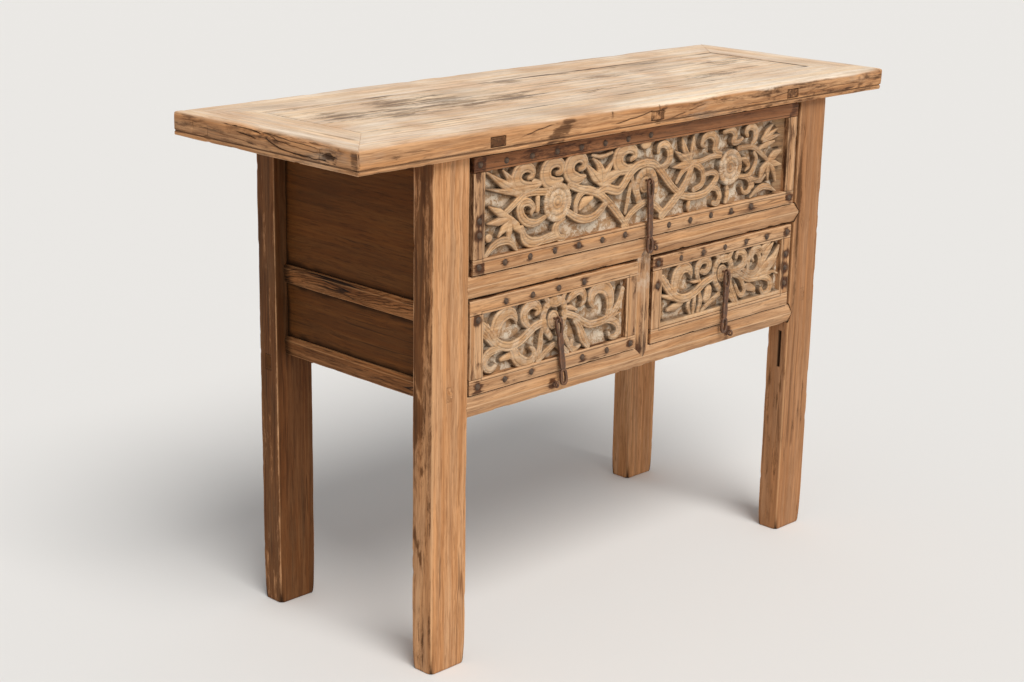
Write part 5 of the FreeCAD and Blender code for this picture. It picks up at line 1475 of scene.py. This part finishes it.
def relief(x_low, x_high, z_low, z_high, strokes, rosettes=(), bare=(), film=0.0):
    """The panel's face as a grid: the highest stroke at each point, or the chiselled ground. Points within
    half a cell of an outline move onto it along the slope of reach. The plate's edge goes back to close it.
    bare lists stretches of the ground, x from and to, that never had whitewash; film is how much of it is
    left on the carving itself."""
    columns, rows = int((x_high - x_low) / CELL) + 1, int((z_high - z_low) / CELL) + 1
    xs, zs = np.linspace(x_low, x_high, columns), np.linspace(z_low, z_high, rows)
    x, z = np.meshgrid(xs, zs, indexing="ij")
    height = np.full(x.shape, -RELIEF_HEIGHT) + 0.35 * rolling(x / 7, z / 7, 61)
    height = height + 0.25 * rolling(x / 2.5, z / 9, 62)
    reach = np.full(x.shape, -40.0)
    grooves = np.zeros_like(x)
    jobs = [stroke_job(*stroke) for stroke in strokes]
    jobs += [(rosette_surface, (centre,), np.array([centre], float), ROSETTE_RADIUS) for centre in rosettes]
    for surface, values, path, half in jobs:
        margin = half + PATCH_MARGIN
        (x_first, z_first), (x_last, z_last) = path.min(0) - margin, path.max(0) + margin
        patch = np.s_[slice(*np.searchsorted(xs, [x_first, x_last])),
                      slice(*np.searchsorted(zs, [z_first, z_last]))]
        if x[patch].size == 0:
            continue
        own_reach, own_height, own_groove = surface(x[patch], z[patch], *values)
        wins = (own_reach > -0.5 * CELL) & (own_height > height[patch])
        height[patch] = np.where(wins, own_height, height[patch])
        grooves[patch] = np.where(wins, own_groove, grooves[patch])
        reach[patch] = np.maximum(reach[patch], own_reach)
    slope_x, slope_z = np.gradient(reach, xs[1] - xs[0], zs[1] - zs[0])
    steepness = slope_x ** 2 + slope_z ** 2 + 1e-6
    pull = np.where(np.abs(reach) < SNAP_REACH, -reach / steepness, 0)
    moved_x = x + np.clip(pull * slope_x, -SNAP_MOST, SNAP_MOST)
    moved_z = z + np.clip(pull * slope_z, -SNAP_MOST, SNAP_MOST)
    moved_x[0], moved_x[-1], moved_z[:, 0], moved_z[:, -1] = x_low, x_high, z_low, z_high
    on_ground = reach < -0.5 * CELL
    y = RELIEF_TOP - height
    # the ground at the foot of each wall is darkened: dirt, and painted shade where the wall stands over it
    near_wall = np.exp(-(np.clip(-reach, 0, 12) / WALL_DIRT_AND_SHADE_REACH) ** 2) * on_ground
    unwashed = np.zeros_like(x)
    for start, stop in bare:
        unwashed = np.maximum(unwashed, rise(x, start - 1, start + 1) * rise(-x, -stop - 1, -stop + 1))
    patches = rolling(x / 16, z / 16, 63) + 0.5 * rolling(x / 6, z / 6, 65)
    # dirt at the wall feet, in the cut grooves and on bare ground; the walls themselves (brow, low_share)
    # are darkened as painted shade
    dirt = near_wall * np.clip(0.95 + 0.25 * patches, 0.5, 1) + 0.40 * grooves * ~on_ground
    brow = np.clip(1 - reach / 1.1, 0, 1) * ~on_ground
    low_share = np.clip(-height / RELIEF_HEIGHT * 1.6 - 0.45, 0, 1) * ~on_ground
    dirt = np.clip(dirt + 0.40 * unwashed * on_ground + 0.5 * low_share + 0.85 * brow, 0, 1)
    wash = on_ground * (1 - unwashed) * (1 - 0.75 * near_wall) * np.clip(0.85 + 0.3 * patches, 0.2, 1)
    wash = np.maximum(wash, ~on_ground * (0.05 + film + 0.25 * grooves + 0.14 * np.clip(patches, 0, 1)))
    for centre in rosettes:
        radius = np.hypot(x - centre[0], z - centre[1])
        rim = rise(radius, 11, 15) * rise(-radius, -ROSETTE_RADIUS - 1, -ROSETTE_RADIUS)
        wash = np.maximum(wash, ~on_ground * rim * (0.36 + 0.25 * patches))
    number = np.arange(columns * rows).reshape(columns, rows)
    quads = np.stack([number[:-1, :-1], number[1:, :-1], number[1:, 1:], number[:-1, 1:]], -1).reshape(-1, 4)
    rim = np.concatenate([number[:, 0], number[-1, 1:], number[-2::-1, -1], number[0, -2:0:-1]])
    points = np.stack([moved_x, y, moved_z], -1).reshape(-1, 3)
    back_rim = points[rim].copy()
    back_rim[:, 1] = RELIEF_GROUND + BACK_REACH
    ring = len(points) + np.arange(len(rim))
    sides = np.stack([rim, ring, np.roll(ring, -1), np.roll(rim, -1)], -1)
    centre = np.array([[(x_low + x_high) / 2, RELIEF_GROUND + BACK_REACH, (z_low + z_high) / 2]])
    tris = np.stack([ring, np.full(len(rim), len(points) + len(rim)), np.roll(ring, -1)], -1)
    points = np.concatenate([points, back_rim, centre])
    shape = {"points": points, "quads": np.concatenate([quads, sides]), "tris": tris,
             "wood_place": points[:, [0, 2, 1]] + CARVING_SHIFT}
    brows = rise(-np.abs(reach - 2.4), -1.6, 0) * ~on_ground * 0.75
    for key, values in (("arris", brows), ("recess", dirt), ("wash", wash)):
        shape[key] = np.concatenate([values.ravel(), np.zeros(len(rim) + 1)])
    return outward(shape)


print("the carving stands", round(RELIEF_HEIGHT, 1), "above its ground")

# %% Drawer fronts
STRIP, UNDER_STRIP = 24.0, 0.5
PANEL_SPLIT = -5.0


def front_board(drawer_name):
    """The plain body of a drawer's front board, behind strips and carving, and the carving's rectangle."""
    low, high = span(drawer_name + "_drawer_front_board")
    # painted shade: the board is darkened all over, for its edges that show only down the gaps round the
    # drawer
    board = bar(0, box_corners(low, high, 0), low[0], high[0], rounds=0.6, step=12.0, steps=8.0, worn=0.3,
                wobble=0.0, stain=lambda x, y, z, normal: 0.5 * (y < 0), seed=97)
    (left, _, below), (right, _, above) = low + STRIP - UNDER_STRIP, high - STRIP + UNDER_STRIP
    return board, (left, right, below, above)


board, (left, right, below, above) = front_board("upper")
all_strokes = UPPER_LEFT_STROKES + UPPER_RIGHT_STROKES
make("upper_drawer_carving_left",
     [board, relief(left, PANEL_SPLIT, below, above, all_strokes, UPPER_ROSETTES)],
     "carved_elm", "upper_drawer", ["upper_drawer_front_board"])
make("upper_drawer_carving_right",
     [relief(PANEL_SPLIT, right, below, above, all_strokes, UPPER_ROSETTES, bare=[(338, 369)])],
     "carved_elm", "upper_drawer")
for name, strokes, bare, film in (("lower_left_drawer", LOWER_LEFT_STROKES, [(-62, -49)], 0.15),
                                  ("lower_right_drawer", LOWER_RIGHT_STROKES, [(46, 60), (348, 362)], 0.05)):
    board, room = front_board(name.removesuffix("_drawer"))
    make(name + "_carving", [board, relief(*room, strokes, bare=bare, film=film)], "carved_elm", name,
         [name + "_front_board"])
print("carved panels:", {name: count for name, count in pieces_made.items() if "carving" in name})

# %% [markdown]
# ## Strips and nails
# Four strips frame each carved panel. A thin bead stands along their inner edge, scratched in with the same
# tool on every strip, so a section with a small groove and a small bead carries it. Forged nails hold them.
# Their heads were hammered into a dome one by one, so each is a disc whose outline and height wander a
# little on their own. Round every nail the iron has blackened the wood.

# %% Places of the nails
strip_low, strip_high = span("upper_drawer_frame_strips")
STRIP_FACE_Y, STRIP_BACK_Y = strip_low[1], strip_high[1] - 0.2
BEAD_IN, BEAD_GROOVE = 4.0, 0.8
DOME_TOP, NAILS_APART = 0.35, 8.0


def nail_places(node):
    """Where each nail head stands: the highest point of every dome, found from the solid's own points."""
    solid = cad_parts[node]
    points = np.zeros(len(solid.data.vertices) * 3)
    solid.data.vertices.foreach_get("co", points)
    points = points.reshape(-1, 3)
    turned = np.array(solid.matrix_world)
    points = (points @ turned[:3, :3].T + turned[:3, 3]) / MM
    tops = points[points[:, 1] < points[:, 1].min() + DOME_TOP]
    places = []
    for x, y, z in tops:
        if all(math.hypot(x - px, z - pz) > NAILS_APART for px, pz in places):
            near = tops[np.hypot(tops[:, 0] - x, tops[:, 2] - z) < NAILS_APART]
            places.append((near[:, 0].mean(), near[:, 2].mean()))
    return places


nails = {name: nail_places(name + "_drawer_nails") for name in DRAWERS}
print("nails:", {name: len(places) for name, places in nails.items()})

# %% Strips
def strip_section(outer, inner):
    """Across the strip, from the drawer's edge to the panel: flat, then a groove, then a bead."""
    way = math.copysign(1, inner - outer)
    face, back = STRIP_FACE_Y, STRIP_BACK_Y
    bead = inner - way * BEAD_IN
    return [(face, outer), (face, bead - way * 1.0), (face + BEAD_GROOVE, bead - way * 0.4),
            (face + BEAD_GROOVE, bead), (face + 0.1, bead + way * 0.7), (face + 0.1, inner - way * 1.0),
            (face + 1.2, inner), (back, inner), (back, outer)]


WIDER_LEFT_STRIP = 5.0
BROWN_FROM, BROWN_TO, CLEANED_FROM_X = 772, 776, 26.0
STRIP_GAP = 0.25
STRIP_ROUNDS = (1.2, 0.3, 0.15, 0.15, 0.4, 0.6, 0.5, 0.3, 0.3)
STRIP_STEPS = (2.0, 2.0, 1.0, 1.0, 1.0, 1.0, 2.0, 6.0, 3.0)


def bead_dirt(edges):
    """Dirt in the groove beside the bead, and none elsewhere. edges are the panel's four edges."""
    def depth(x, y, z, normal):
        return np.zeros_like(x), 0.6 * rise(0.9 - np.abs(beyond(x, z, edges) - BEAD_IN - 0.3), 0, 0.5)
    return depth


def strip_stain_and_gap_shade(places, edges, brown_top):
    """Iron stain round the nails, side faces darkened (most on the outer sides) as painted shade for the
    gaps round the drawer, and on the upper drawer a later, darker top strip whose right part was cleaned
    more.
    edges are the panel's four edges."""
    x_low, x_high = edges[:2]

    def share(x, y, z, normal):
        total = 0.10 + 0.12 * rolling(x / 60, z / 14, 21)
        for px, pz in places:
            wide = 11.0 + 3.0 * rolling(np.array(px / 9), np.array(pz / 9), 3)
            amount = 0.9 if px < x_low or px > x_high else 0.6
            total = np.maximum(total, amount * np.exp(-((x - px) ** 2 + 1.3 * (z - pz) ** 2) / wide ** 2))
        if brown_top:
            cleaned = rise(x, CLEANED_FROM_X, CLEANED_FROM_X + 2)
            total = np.maximum(total, rise(z, BROWN_FROM, BROWN_TO) * (0.36 - 0.16 * cleaned))
            total += 0.34 * rise(np.abs(x), x_high, x_high + 1) * (0.8 + 0.6 * rolling(z / 22, x / 9, 23))
        else:
            mottled = rise(rolling(x / 9, z / 16, 27), -0.2, 0.6)
            total += 0.20 * rise(np.maximum(x_low - x, x - x_high), 0, 1) * mottled
        # painted shade: the side faces, seen only down the narrow gaps round the drawer, are darkened
        sides = rise(np.abs(normal[:, 0]) + np.abs(normal[:, 2]), 0.75, 0.95)
        return np.maximum(total, sides * (0.35 + 0.15 * rise(beyond(x, z, edges), 2, 8)))
    return share


for number, drawer_name in enumerate(DRAWERS):
    low, high = span(drawer_name + "_drawer_frame_strips")
    edges = (low[0] + STRIP, high[0] - STRIP, low[2] + STRIP, high[2] - STRIP)
    low[0] -= WIDER_LEFT_STRIP if drawer_name == "lower_left" else 0
    is_upper = drawer_name == "upper"
    brown = (lambda x, y, z, normal: rise(z, BROWN_FROM, BROWN_TO)) if is_upper else None
    common = {"rounds": STRIP_ROUNDS, "step": 2.5, "steps": STRIP_STEPS, "end_rounds": (0.8, 0.8),
              "worn": 0.5, "chips": 1.0, "wobble": 0.25, "cut": bead_dirt(edges),
              "stain": strip_stain_and_gap_shade(nails[drawer_name], edges, is_upper)}
    shapes = []
    for seed, (outer, inner) in enumerate(((high[2], edges[3]), (low[2], edges[2]))):
        shapes.append(bar(0, strip_section(outer, inner), low[0], high[0], tan=brown,
                          seed=101 + 4 * number + seed, **common))
    for seed, (outer, inner) in enumerate(((low[0], edges[0]), (high[0], edges[1]))):
        corners = [(across, depth) for depth, across in strip_section(outer, inner)]
        shapes.append(bar(2, corners, edges[2] + STRIP_GAP, edges[3] - STRIP_GAP,
                          seed=103 + 4 * number + seed, **common))
    make(drawer_name + "_drawer_strips_worn", shapes, "orange_elm", drawer_name + "_drawer",
         [drawer_name + "_drawer_frame_strips"])
print("strips made")

# %% Rust and iron
rust_group, given, result = group(
    "rust_on_iron",
    [("Place", "Vector", (0, 0, 0)), ("Iron", "Color", BLACK), ("Rust", "Color", WHITE),
     ("Rubbed", "Color", WHITE), ("Arris", "Float", 0.0), ("Rust share", "Float", 0.6)],
    [("Color", "Color"), ("Roughness", "Float"), ("Height", "Float")])
blooms = noise(given["Place"], 160.0, 1, 6.0, 0.65, 0.4)
specks = noise(given["Place"], 900.0, 1, 3.0, 0.6)
rusted = times(between(ruffled(blooms, specks, 0.4), 0.42, 0.62), given["Rust share"])
worn_bright = times(between(ruffled(given["Arris"], blooms, 0.9), 0.45, 1.0), 0.6)
colour = mix(worn_bright, mix(rusted, given["Iron"], given["Rust"]), given["Rubbed"])
connect(result, {"Color": colour, "Roughness": plus(0.52, times(rusted, 0.33)),
                 "Height": plus(blooms, times(specks, 0.4))})


def iron(name, dark, rust, rubbed, rust_share, metallic, bump):
    """The finish of forged iron that has hung in a damp room, its colours given as they are seen."""
    finishes[name] = bpy.data.materials.new(name)
    tree, surface = surface_of(finishes[name])
    skin = add(tree, "ShaderNodeGroup", {
        "Place": attribute(tree, "wood_place", "Vector"), "Iron": tone(*dark), "Rust": tone(*rust),
        "Rubbed": tone(*rubbed), "Arris": attribute(tree, "arris"), "Rust share": rust_share},
        node_tree=rust_group).outputs
    relief = add(tree, "ShaderNodeBump", {"Height": skin["Height"], "Strength": bump, "Distance": 0.35 * MM})
    connect(surface, {"Base Color": skin["Color"], "Roughness": skin["Roughness"],
                      "Normal": relief.outputs[0]})
    surface["Metallic"].default_value = metallic
    surface["Specular IOR Level"].default_value = 0.35


iron("wrought_iron", (84, 62, 50), (124, 84, 58), (150, 116, 92), 0.75, 0.15, 0.6)
iron("nail_iron", (70, 54, 42), (100, 74, 54), (122, 96, 74), 0.5, 0.1, 0.5)
print("iron finishes made")

# %% Nails
NAIL_RADIUS, NAIL_RISE, NAIL_SKIRT, NAIL_AROUND = 5.4, 2.9, 1.5, 28
NAIL_RINGS = np.array([0.16, 0.34, 0.52, 0.68, 0.82, 0.92, 0.98, 1.0])


def nail(x, z, number, front=STRIP_FACE_Y):
    """A hammered head. Radius R(a) = R (1 + wander), height h(q) = rise (1 - q^2.4) of the share q of
    the radius, with small facets; behind the rim a short skirt goes into the wood."""
    angle = np.linspace(0, 2 * math.pi, NAIL_AROUND, endpoint=False)
    wander = 0.06 * rolling(np.cos(angle) * 1.4 + number * 3.7, np.sin(angle) * 1.4 + number, 5)
    radius = NAIL_RADIUS * (0.94 + wander)
    q = NAIL_RINGS[:, None]
    top = NAIL_RISE * (0.86 + 0.12 * math.sin(number * 2.3))
    facets = 0.35 * rolling(q * np.cos(angle) * 2.2 + number, q * np.sin(angle) * 2.2, 7) * (1 - q ** 2)
    lift = top * (1 - q ** 2.4) + facets
    rings = np.stack([x + q * radius * np.cos(angle), front - lift, z + q * radius * np.sin(angle)], -1)
    skirt = rings[-1].copy()
    skirt[:, 1] = front + NAIL_SKIRT
    rings = np.concatenate([rings, skirt[None]])
    quads, tris = tube(len(rings), NAIL_AROUND)
    points = np.concatenate([rings.reshape(-1, 3), [[x, front - top, z], [x, front + NAIL_SKIRT, z]]])
    arris = np.append(np.repeat(0.9 * (1 - NAIL_RINGS ** 2), NAIL_AROUND), np.zeros(NAIL_AROUND + 2))
    return outward({"points": points, "quads": quads, "tris": tris, "wood_place": points + number * 13.0,
                    "arris": arris})


for drawer_name, places in nails.items():
    dress(drawer_name + "_drawer_nails", [nail(x, z, k + 1) for k, (x, z) in enumerate(places)],
          "nail_iron", drawer_name + "_drawer")
print("nails made")

# %% [markdown]
# ## Eyes, hasps and staples
# Each hasp was forged from one rod: a long loop above, two arms welded into a bar, and a drop-shaped loop
# below that goes over the staple. A rod along a path is the natural form for it. The section is a
# rounded square (a superellipse) whose size varies by hammer blows, and every path lies in the hasp's own
# plane, which leans a little about the eye it hangs from.

# %% Forged rods
ROD_AROUND = 16


def rod(path, wide, thick, closed=False, power=3.2, hammered=0.12, seed=1, plane_normal=(0, 1, 0),
        spacing=0.9):
    """A rounded square section carried along a smooth path. At angle a the section is at
    (wide |cos a|^(2/p) sign, thick |sin a|^(2/p) sign), wide in the path's plane and thick across it; both
    vary by the hammered share. An open rod's ends shrink to a point as a quarter circle does."""
    path = np.array(path, float)
    if closed:
        padded = np.concatenate([path[-2:], path, path[:3]])
        line = smooth_line(padded, spacing, 2)
        half = len(line) // 2
        to_start = np.linalg.norm(line - path[0], axis=1)
        line = line[np.argmin(to_start[:half]):half + np.argmin(to_start[half:])]
        ahead = np.roll(line, -1, 0) - np.roll(line, 1, 0)
    else:
        line = smooth_line(path, spacing, 2)
        ahead = np.gradient(line, axis=0)
    ahead = ahead / np.linalg.norm(ahead, axis=1)[:, None]
    sideways = np.cross(ahead, np.array(plane_normal, float))
    sideways = sideways / np.linalg.norm(sideways, axis=1)[:, None]
    up = np.cross(sideways, ahead)
    share = np.linspace(0, 1, len(line))
    wide = np.interp(share, np.linspace(0, 1, np.size(wide)), np.atleast_1d(wide))
    thick = np.interp(share, np.linspace(0, 1, np.size(thick)), np.atleast_1d(thick))
    angle = np.linspace(0, 2 * math.pi, ROD_AROUND, endpoint=False) + math.pi / ROD_AROUND
    cosine, sine = np.cos(angle), np.sin(angle)
    corner = np.sign(cosine) * np.abs(cosine) ** (2 / power), np.sign(sine) * np.abs(sine) ** (2 / power)
    along = share[:, None] * len(line) * spacing
    blows = rolling(along / 5.0, corner[0][None] * 0.9 + corner[1][None] * 1.3, seed)
    blows = 1 - hammered * (0.5 + 0.5 * blows)
    end = np.ones(len(line))
    if not closed:
        reach = np.minimum(share, 1 - share) * len(line) * spacing / np.maximum(wide, 0.5)
        end = np.sqrt(np.clip(1 - (1 - np.clip(reach, 0.02, 1)) ** 2, 0.02, 1))
    offset = (wide * end)[:, None] * corner[0] * blows
    lift = (thick * end)[:, None] * corner[1] * blows
    rings = line[:, None] + offset[..., None] * sideways[:, None] + lift[..., None] * up[:, None]
    quads, tris = tube(len(rings), ROD_AROUND, closed)
    points = rings.reshape(-1, 3)
    arris = np.tile(np.clip(np.abs(cosine * sine) * 2, 0, 1) ** 2, len(rings))
    if not closed:
        points = np.concatenate([points, [rings[0].mean(0), rings[-1].mean(0)]])
        arris = np.append(arris, [0.5, 0.5])
    return outward({"points": points, "quads": quads, "tris": tris, "wood_place": points + seed * 31.0,
                    "arris": arris})


print("a straight rod of 50 has", len(rod([(0, 0, 0), (25, 0, 0), (50, 0, 0)], 2, 2)["points"]), "points")

# %% Eyes and hasps
EYE_Y, PIN_RADIUS, WIRE_RADIUS, EYE_HOLE = -206.5, 1.85, 1.75, 2.08
HASPS = {"upper": ((-4.0, 714.0), 120.0, 2.0), "lower_left": ((-211.75, 523.0), 112.0, 8.5),
         "lower_right": ((206.75, 528.0), 108.0, -1.5)}
ARM_X, BAR_HALF, IRON_HALF = 5.4, 6.3, 3.0
TOP_LOOP, BOTTOM_LOOP = 27.0, 30.0
LOOP_WIDE, LOOP_THICK = (2.2, 2.1, 2.1, 2.1, 2.1, 1.95), (2.6, 2.9, 2.9, 2.9, 2.9, 2.5)
print("hasps:", {name: values[1] for name, values in HASPS.items()})


def in_lean(centre, lean, points):
    """Points of the hasp's own plane (across, up) turned by its lean about the eye."""
    turn = math.radians(lean)
    return [(centre[0] + u * math.cos(turn) - v * math.sin(turn), EYE_Y,
             centre[1] + u * math.sin(turn) + v * math.cos(turn)) for u, v in points]


def eye_shapes(x, z, hole, shank_end, seed):
    """A ring of wire in an upright plane, on a shank that goes back into the wood."""
    radius = hole + WIRE_RADIUS
    around = np.linspace(0, 2 * math.pi, 16, endpoint=False)
    ring = np.stack([np.full(16, x), EYE_Y + radius * np.cos(around), z + radius * np.sin(around)], -1)
    neck = EYE_Y + radius
    shank = [(x, y, z) for y in (neck - 0.6, neck + 6, shank_end - 6, shank_end)]
    return [rod(ring, WIRE_RADIUS, WIRE_RADIUS, closed=True, power=2.3, hammered=0.10, seed=seed,
                plane_normal=(1, 0, 0), spacing=0.6),
            rod(shank, 2.1, 2.1, power=2.5, hammered=0.08, seed=seed + 1, plane_normal=(1, 0, 0),
                spacing=1.5)]


for number, (drawer_name, ((eye_x, eye_z), length, lean)) in enumerate(HASPS.items()):
    seed = 140 + 10 * number
    clench_low, clench_high = span(drawer_name + "_drawer_eye")
    clench = [(x, clench_high[1] - 0.8, eye_z) for x in (clench_low[0] + 0.5, eye_x, clench_high[0] - 0.5)]
    dress(drawer_name + "_drawer_eye", eye_shapes(eye_x, eye_z, EYE_HOLE, clench_high[1] - 0.3, seed)
          + [rod(clench, 2.0, 0.75, power=3.0, seed=seed + 2, spacing=1.5)],
          "wrought_iron", drawer_name + "_drawer")
    centre, neck = (eye_x, eye_z), -TOP_LOOP
    half_loop = [(2.6, neck - 4), (3.3, neck + 1.5), (4.6, neck + 7), (ARM_X, neck + 13), (ARM_X, -7),
                 (ARM_X, -3), (ARM_X - 0.9, -0.7), (ARM_X - 2.4, 0)]
    folded = [(-u, v) for u, v in half_loop] + [(0, 0)] + half_loop[::-1]
    folded_wide = LOOP_WIDE + (PIN_RADIUS,) + LOOP_WIDE[::-1]
    folded_thick = LOOP_THICK + (PIN_RADIUS,) + LOOP_THICK[::-1]
    loop_middle = -(length - BOTTOM_LOOP / 2)
    straight = [(0, neck + 4), (0.15, neck - 12), (-0.15, (neck + loop_middle) / 2),
                (0.1, loop_middle + 24), (0, loop_middle + 10.5)]
    half_drop = [(3.6, 10.2), (4.9, 5.5), (5.5, 0), (5.5, -5), (4.1, -10.3)]
    drop = [(0, 12.4)] + half_drop + [(0, -12.6)] + [(-u, v) for u, v in half_drop[::-1]]
    drop = [(u, v + loop_middle) for u, v in drop]
    shapes = [rod(in_lean(centre, lean, folded), folded_wide, folded_thick, seed=seed + 3, power=3.6,
                  spacing=0.7),
              rod(in_lean(centre, lean, straight), (4.8, BAR_HALF, 5.1, BAR_HALF, 5.0), IRON_HALF,
                  seed=seed + 4, power=4.0, hammered=0.07, spacing=1.1),
              rod(in_lean(centre, lean, drop), 2.3, IRON_HALF, closed=True, seed=seed + 5, power=3.4,
                  spacing=0.8)]
    dress(drawer_name + "_drawer_hasp", shapes, "wrought_iron", drawer_name + "_hasp")

STAPLE_HOLE, STAPLE_END = 2.5, -179.0
staple_shapes = []
for number, (x, z) in enumerate(STAPLES):
    staple_shapes += eye_shapes(x, z, STAPLE_HOLE, STAPLE_END, 180 + 3 * number)
dress("rail_staples", staple_shapes, "wrought_iron")
print("ironwork made:", sum(count for name, count in pieces_made.items() if "hasp" in name or "eye" in name),
      "triangles")

# %% The end
print("triangles:", sum(pieces_made.values()), "in", len(pieces_made), "new pieces")
